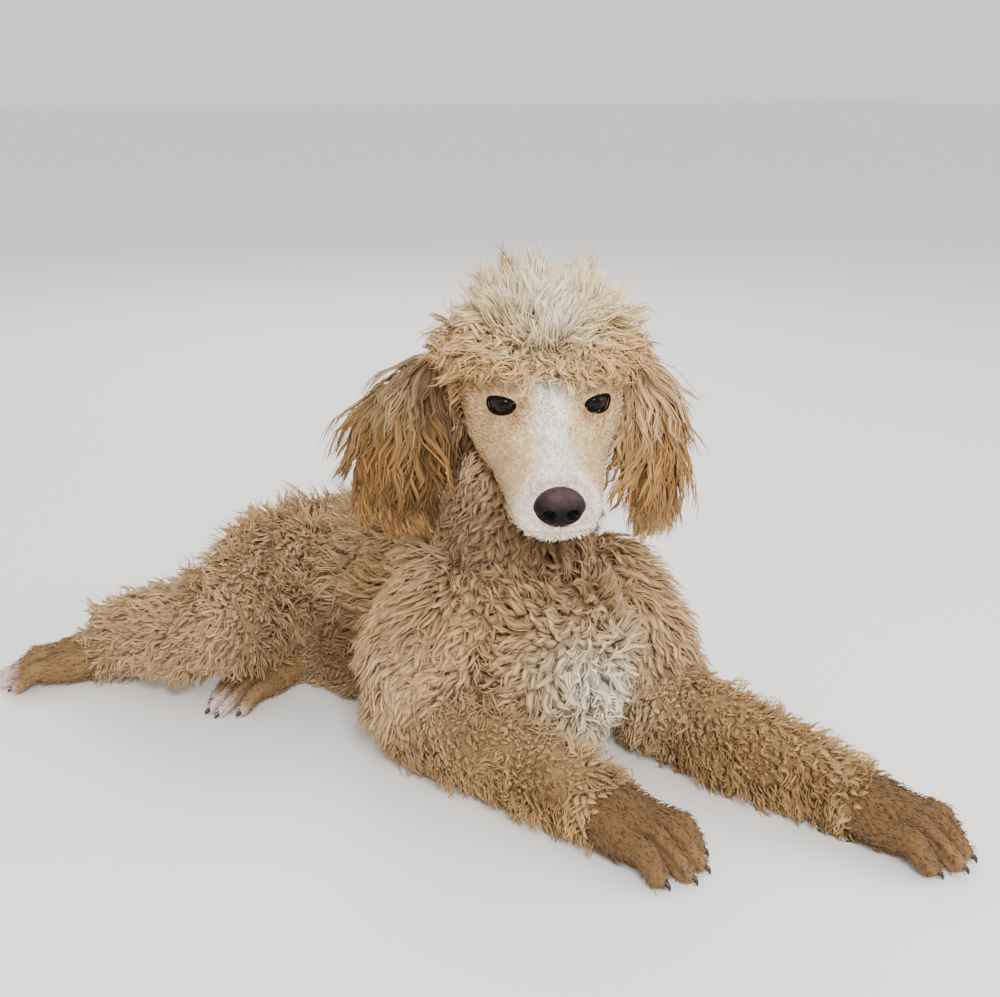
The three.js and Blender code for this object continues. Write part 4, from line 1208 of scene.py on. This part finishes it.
def grow(name, weight, tufts, each, style, lie_at, material, seed):
    """Grows tufts of `each` strands where `weight` says, in a style of length, curl and lie."""
    random = np.random.default_rng(seed)
    root, normal, region, place, turn = tuft_roots(weight, tufts, random)
    tufts = len(root)
    length, lie = lie_at(root, normal, region, place)
    swirl = np.stack([waves(root, style["patch"], k) for k in range(3)], 1)
    lie = lie + swirl * style["swirl"] + random.normal(size=lie.shape) * style["stray"]
    lie = unit(lie - normal * (lie * normal).sum(1)[:, None])
    side = np.cross(normal, lie)
    length = style["length"] * length * (0.86 + 0.2 * waves(root, style["patch"] * 0.8, 1))
    length = length * random.uniform(0.85, 1.12, tufts)
    colour = markings(root, region) * random.uniform(0.88, 1.1, (tufts, 1))
    unwrapped = unwrap_places(region, place, turn)

    def per_strand(values):
        return np.repeat(values, each, axis=0)

    total = tufts * each
    is_lock = np.tile(np.arange(each) == 0, tufts) & (style["lock_width"] > 0)
    spread = random.normal(size=(total, 2)) * style["tuft_radius"]
    spread[is_lock] *= 0.2
    reach = per_strand(length) * np.where(is_lock, 0.95, random.uniform(0.72, 1.1, total))
    stand = per_strand(np.clip(style["stand"] + 0.12 * waves(root, style["patch"], 2), 0.05, 1))
    phase = random.uniform(0, FULL_TURN, tufts) * 0.5 + 3 * waves(root, style["patch"] * 2, 0)
    phase = per_strand(phase) + random.normal(size=total) * np.where(is_lock, 0.1, style["loose"])
    turns = per_strand(random.uniform(0.8, 1.2, tufts)) * style["turns"]
    handed = per_strand(random.choice([-1.0, 1.0], tufts))
    segments = style["segments"]
    way_n, way_l, way_s = per_strand(normal), per_strand(lie), per_strand(side)
    sink = style["sink"]
    base = per_strand(root) + way_l * spread[:, :1] + way_s * spread[:, 1:] - way_n * sink
    centre_line = base.copy()
    lines = [base - way_n * sink * 0.4]
    for k in range(1, segments + 1):
        s = k / segments
        lean = s ** style["bend"] * (1 - stand)
        direction = unit(way_n * (1 - lean * 0.95)[:, None] + way_l * (lean * 1.6)[:, None]
                         + Z_AXIS * (-style["sag"] * s))
        centre_line = centre_line + direction * (reach / segments)[:, None]
        swing = style["curl"] * s ** 0.85 * reach
        angle = phase + turns * FULL_TURN * s
        offset = way_s * (np.cos(angle) * swing * handed)[:, None]
        lift = np.sin(angle) * swing * style["spiral"]
        offset = offset + unit(np.cross(way_s, direction)) * lift[:, None]
        gather = -(way_l * spread[:, :1] + way_s * spread[:, 1:]) * (style["gather"] * s ** 1.5)
        lines.append(centre_line + offset + gather)
    lines = np.stack(lines, 1)
    taper = np.interp(np.linspace(0, 1, segments + 1), [0, 0.35, 0.8, 1], [0.8, 1, 0.66, 0.2])
    half_width = style["width"] / 2 * random.uniform(0.7, 1.25, total)
    half_width[is_lock] = style["lock_width"] / 2 * random.uniform(0.8, 1.2, is_lock.sum())
    half_width = np.minimum(half_width, reach * style["slender"])
    flatness = np.where(is_lock, style["lock_flatness"], style["flatness"])
    twist = random.normal(size=total) * np.where(is_lock, 0.25, 0.8)
    sides = way_s * np.cos(twist)[:, None] + way_n * np.sin(twist)[:, None]
    # Each tuft's wide lock lies under its fine strands, and is darkened by its style's lock shade as
    # painted shade deep in the coat; the undercoat's locks most
    colours = per_strand(colour) * np.where(
        is_lock, style["lock_shade"], random.uniform(0.92, 1.1, total))[:, None]
    kept = np.ones(total, bool) if style["lock_width"] == 0 else clear_of_eyes(lines)
    return strand_piece(name, lines[kept], half_width[kept, None] * taper[None], flatness[kept],
                        sides[kept], colours[kept], per_strand(unwrapped)[kept], material)


coat_hair = coat_material("curly_hair", 0.65, 0.72, True)
lie_ahead = {name: 1.0 for name in body_names}
lie_ahead["neck"] = -1.0
LENGTH_TO_DEPTH = 1.3
LOWNESS = {"torso": 0.5, "neck": 0.7, "upper_arm_left": 0.9, "upper_arm_right": 0.9}


def body_lie(root, normal, region, place):
    """Length of the curls and the way they lie on trunk and legs."""
    length = np.zeros(len(root))
    lie = np.zeros_like(root)
    for k, name in enumerate(body_names):
        here = region == k
        depth = BODY[name][1]
        length[here] = max(depth * SKIN_UNDER_TIPS * LENGTH_TO_DEPTH, 8)
        sample = np.clip((place[here] * (LINE_SAMPLES - 1)).astype(int), 0, LINE_SAMPLES - 1)
        lie[here] = body_lines[k]["ahead"][sample] * lie_ahead[name]
        lie[here, 2] -= LOWNESS.get(name, 0.35)
    return length, lie


CURLY = {"segments": 5, "length": 1.05, "width": 0.95, "flatness": 0.7, "lock_width": 4.2,
         "lock_flatness": 0.42, "lock_shade": 0.92, "tuft_radius": 3.0, "gather": 0.5, "loose": 0.6,
         "curl": 0.15, "spiral": 0.6, "turns": 1.0, "stand": 0.4, "bend": 0.8, "sag": 0.12,
         "swirl": 0.6, "stray": 0.22, "patch": 34, "sink": 1.2, "slender": 0.17}
LONG = dict(CURLY, length=1.3, turns=0.9, curl=0.11, stand=0.34)
PLUSH = dict(CURLY, length=1.15, width=0.85, lock_width=2.4, tuft_radius=2.8, curl=0.18,
             stand=0.58, swirl=0.8, stray=0.35, loose=0.9)
UNDERCOAT = dict(CURLY, segments=3, length=0.8, lock_width=5.2, lock_flatness=0.3, lock_shade=0.82,
                 stand=0.24, curl=0.04, stray=0.4, sink=0.3, slender=0.28)
# A value in front of the puppy, where the loin begins, and a value behind the puppy
FIRST, LOIN_AT, LAST = -999, 95, 999


def weight_of(names, front=FIRST, back=LAST):
    """Where the coat of the named parts grows, between two distances behind the breastbone."""
    codes = [body_names.index(name) for name in names]
    grows = np.isin(triangle_region, codes) & (triangle_middle[:, 2] > 4.0)
    return (grows & (triangle_middle[:, 1] > front) & (triangle_middle[:, 1] <= back)) * 1.0


# Parts of the body, from how far back to how far, tufts, style and seed of each coat piece
COAT_PIECES = {
    "coat_chest": (("torso",), FIRST, LOIN_AT, 1000, CURLY, 11),
    "coat_loin": (("torso",), LOIN_AT, LAST, 940, PLUSH, 18),
    "coat_neck": (("neck",), FIRST, LAST, 560, CURLY, 12),
    "coat_upper_arms": (("upper_arm_left", "upper_arm_right"), FIRST, LAST, 740, LONG, 13),
    "coat_forelegs": (("foreleg_left", "foreleg_right"), FIRST, LAST, 1020, PLUSH, 14),
    "coat_hind_right": (("thigh_right", "shank_right"), FIRST, LAST, 950, PLUSH, 15),
    "coat_hind_left": (("thigh_left", "shank_left"), FIRST, LAST, 310, PLUSH, 16),
    "coat_tail": (("tail_pom", "tail"), FIRST, LAST, 210, PLUSH, 17),
}
STRANDS_PER_TUFT = 6
for name, (parts, front, back, tufts, style, seed) in COAT_PIECES.items():
    grow(name, weight_of(parts, front, back), tufts, STRANDS_PER_TUFT, style, body_lie, coat_hair,
         seed)
grow("undercoat", weight_of(body_names), 9400, 1, UNDERCOAT, body_lie, coat_hair, 19)

# The topknot: long cream hair that stands up and fans out over the skull, a rounded fringe of curls
# that hangs over the brow and down the sides of the head, and the curls of the nape behind them.
on_skull = triangle_region == REGION_HEAD
_, skull_y, skull_z = triangle_head.T
# How far behind the eyes and how high over them the crown, the fringe and the nape begin, and the
# length of their curls
CROWN_BACK, CROWN_UP, CROWN_LENGTH = 4, 25, 29
FRINGE_BACK, FRINGE_UP, FRINGE_LENGTH = 1, 13, 24
NAPE_BACK, NAPE_UP, NAPE_LENGTH = 26, -44, 19
crown_line = CROWN_UP + 0.10 * (skull_y - 20) - 0.5 * np.maximum(skull_y - 50, 0)
fringe_line = FRINGE_UP - 0.25 * np.maximum(skull_y - 10, 0)
is_crown = on_skull & (skull_z > crown_line) & (skull_y > CROWN_BACK)
is_fringe = on_skull & ~is_crown & (skull_z > fringe_line) & (skull_y > FRINGE_BACK)
is_nape = on_skull & ~is_crown & ~is_fringe & (skull_y > NAPE_BACK) & (skull_z > NAPE_UP)


def crown_lie(root, normal, region, place):
    head = to_head(root)
    lie = np.stack([head[:, 0] * 0.9, (head[:, 1] - 26) * 0.7, np.full(len(root), 22.0)], 1)
    return CROWN_LENGTH + 4 * waves(root, 18, 2), lie @ HEAD_TURNED.T / 30


def fringe_lie(root, normal, region, place):
    head = to_head(root)
    lie = np.stack([head[:, 0] * 0.5, (head[:, 1] - 45) * 0.8, np.full(len(root), -16.0)], 1)
    return FRINGE_LENGTH + 3 * waves(root, 16, 2), lie @ HEAD_TURNED.T / 30


def nape_lie(root, normal, region, place):
    return np.full(len(root), float(NAPE_LENGTH)), np.tile((0.0, 0.3, -1.0), (len(root), 1))


# No fringe grows nearer than this to the middle of an eye
LIDS_REACH = 15.5
off_the_lids = np.ones(len(triangles), bool)
for side in (-1, 1):
    off_the_lids &= np.linalg.norm(triangle_head - eye_frame(side)[0], axis=1) > LIDS_REACH
SPIKY = dict(CURLY, length=1.0, width=0.8, lock_width=2.8, tuft_radius=2.8, gather=0.55,
             curl=0.08, turns=0.9, stand=0.8, sag=0.0, swirl=0.4, stray=0.3, patch=20)
ROUNDED = dict(CURLY, length=1.0, width=0.85, lock_width=3.4, tuft_radius=2.4, curl=0.18,
               turns=1.3, stand=0.5, sag=0.2, patch=16)
pale_hair = coat_material("pale_hair", 0.65, 0.84, True)
grow("topknot_crown", is_crown * 1.0, 440, 7, SPIKY, crown_lie, pale_hair, 21)
grow("topknot_fringe", (is_fringe & off_the_lids) * 1.0, 530, 7, ROUNDED, fringe_lie, pale_hair,
     22)
grow("coat_nape", is_nape * 1.0, 320, 6, CURLY, nape_lie, coat_hair, 23)

# The ears: long wavy golden hair, rooted on both faces of each ear leather. It hangs down past the
# leather's end, and lies over the cheek and the neck.


def ear_lie(root, normal, region, place):
    """The hair hangs down and in to the cheek, and outwards only where the ear faces up."""
    length = np.clip((root[:, 2] - 132) * 0.62, 22, 48)
    lie = np.zeros_like(root)
    lie[:, 2] = -1.0
    outward = np.where(root[:, 0] > 0, -0.42, -0.22) + 0.26 * waves(root, 24, 1)
    outward += 0.9 * smooth_step(0.3, 0.9, normal[:, 2])
    lie[:, 0] = np.sign(root[:, 0]) * outward
    return length, lie


WAVY = dict(CURLY, segments=6, length=1.0, width=0.9, lock_width=3.8, lock_flatness=0.35,
            tuft_radius=2.6, gather=0.35, loose=0.35, curl=0.07, turns=1.7, stand=0.06, bend=0.3,
            sag=0.5, swirl=0.2, stray=0.12, patch=26)
for side_name, code, seed in (("right", REGION_EAR_RIGHT, 31), ("left", REGION_EAR_LEFT, 32)):
    on_ear = (triangle_region == code) * 1.0
    grow("ear_hair_" + side_name, on_ear, 500, 6, WAVY, ear_lie, coat_hair, seed)

# The short clipped fur of the face and of the feet: fine flat tufts that lie back from the nose
# and down to the toes, and break the outline of the bare forms.
is_face_fur = on_skull & ~is_crown & ~is_fringe & ~is_nape
nose_away = np.linalg.norm((triangle_head - NOSE_AT) / (13.2, 9.5, 10.2), axis=1)
is_face_fur &= nose_away > 1.0
for side in (-1, 1):
    centre, front, corner, upper = eye_frame(side)
    way = unit(triangle_head - centre)
    near = (np.linalg.norm(triangle_head - centre, axis=1) < 14) & (way @ front > 0.3)
    along, height = on_eyeball(way, corner, upper)
    edge = lid_edge_height(along * 0.88, height > 0) + 1.0
    is_face_fur &= ~(near & (np.abs(height) < edge))


def face_lie(root, normal, region, place):
    head = to_head(root)
    lie = unit(head - (0, -78, -22))
    chin = smooth_step(-30, -46, head[:, 1]) * smooth_step(-32, -42, head[:, 2])
    length = 2.6 + 3.4 * smooth_step(-40, 30, head[:, 1]) + 3.5 * chin
    return length, lie @ HEAD_TURNED.T


def paw_lie(root, normal, region, place):
    lie = np.zeros_like(root)
    length = np.zeros(len(root))
    for number, name in enumerate(PAWS):
        here = region == REGION_PAW + number
        lie[here] = -np.array(paw_frame(name).to_3x3())[:, 1]
        length[here] = 7.5 - 3.5 * smooth_step(0.3, 0.7, place[here])
    return length, lie


SHORT = dict(CURLY, segments=2, width=0.8, lock_width=0, flatness=0.45, tuft_radius=0.9,
             gather=0.2, curl=0.02, turns=0.5, stand=0.2, sag=0.0, swirl=0.25, stray=0.22,
             patch=14, sink=0.15)
PAW_FUR = dict(SHORT, width=0.75, tuft_radius=1.4, stand=0.1, stray=0.16)
short_hair = coat_material("short_hair", 0.75, 0.88, True)
grow("face_fur", is_face_fur * 1.0, 4000, 3, SHORT, face_lie, short_hair, 41)
is_paw = ((triangle_region >= REGION_PAW) & (triangle_middle[:, 2] > 2.5)) * 1.0
is_paw *= 1 + on_toes(triangle_middle) * 1.0
grow("paw_fur", is_paw, 3900, 3, PAW_FUR, paw_lie, short_hair, 42)

# Once the coat has grown out of it, the skin needs fewer faces still where the coat hides it: on
# trunk, legs and ears, and on the back of the head
HIDDEN_SHARE = 0.84
under_hair = under_coat | (is_face & (to_head(points)[:, 1] > FINE_FACE_BACK))
hidden = skin.vertex_groups.new(name="hidden")
hidden.add(np.flatnonzero(under_hair).tolist(), 1.0, "REPLACE")
thin_out = skin.modifiers.new("thin_out", "DECIMATE")
thin_out.vertex_group = "hidden"
thin_out.ratio = HIDDEN_SHARE
skin.data = settled_mesh(skin)
skin.modifiers.clear()
skin.vertex_groups.clear()
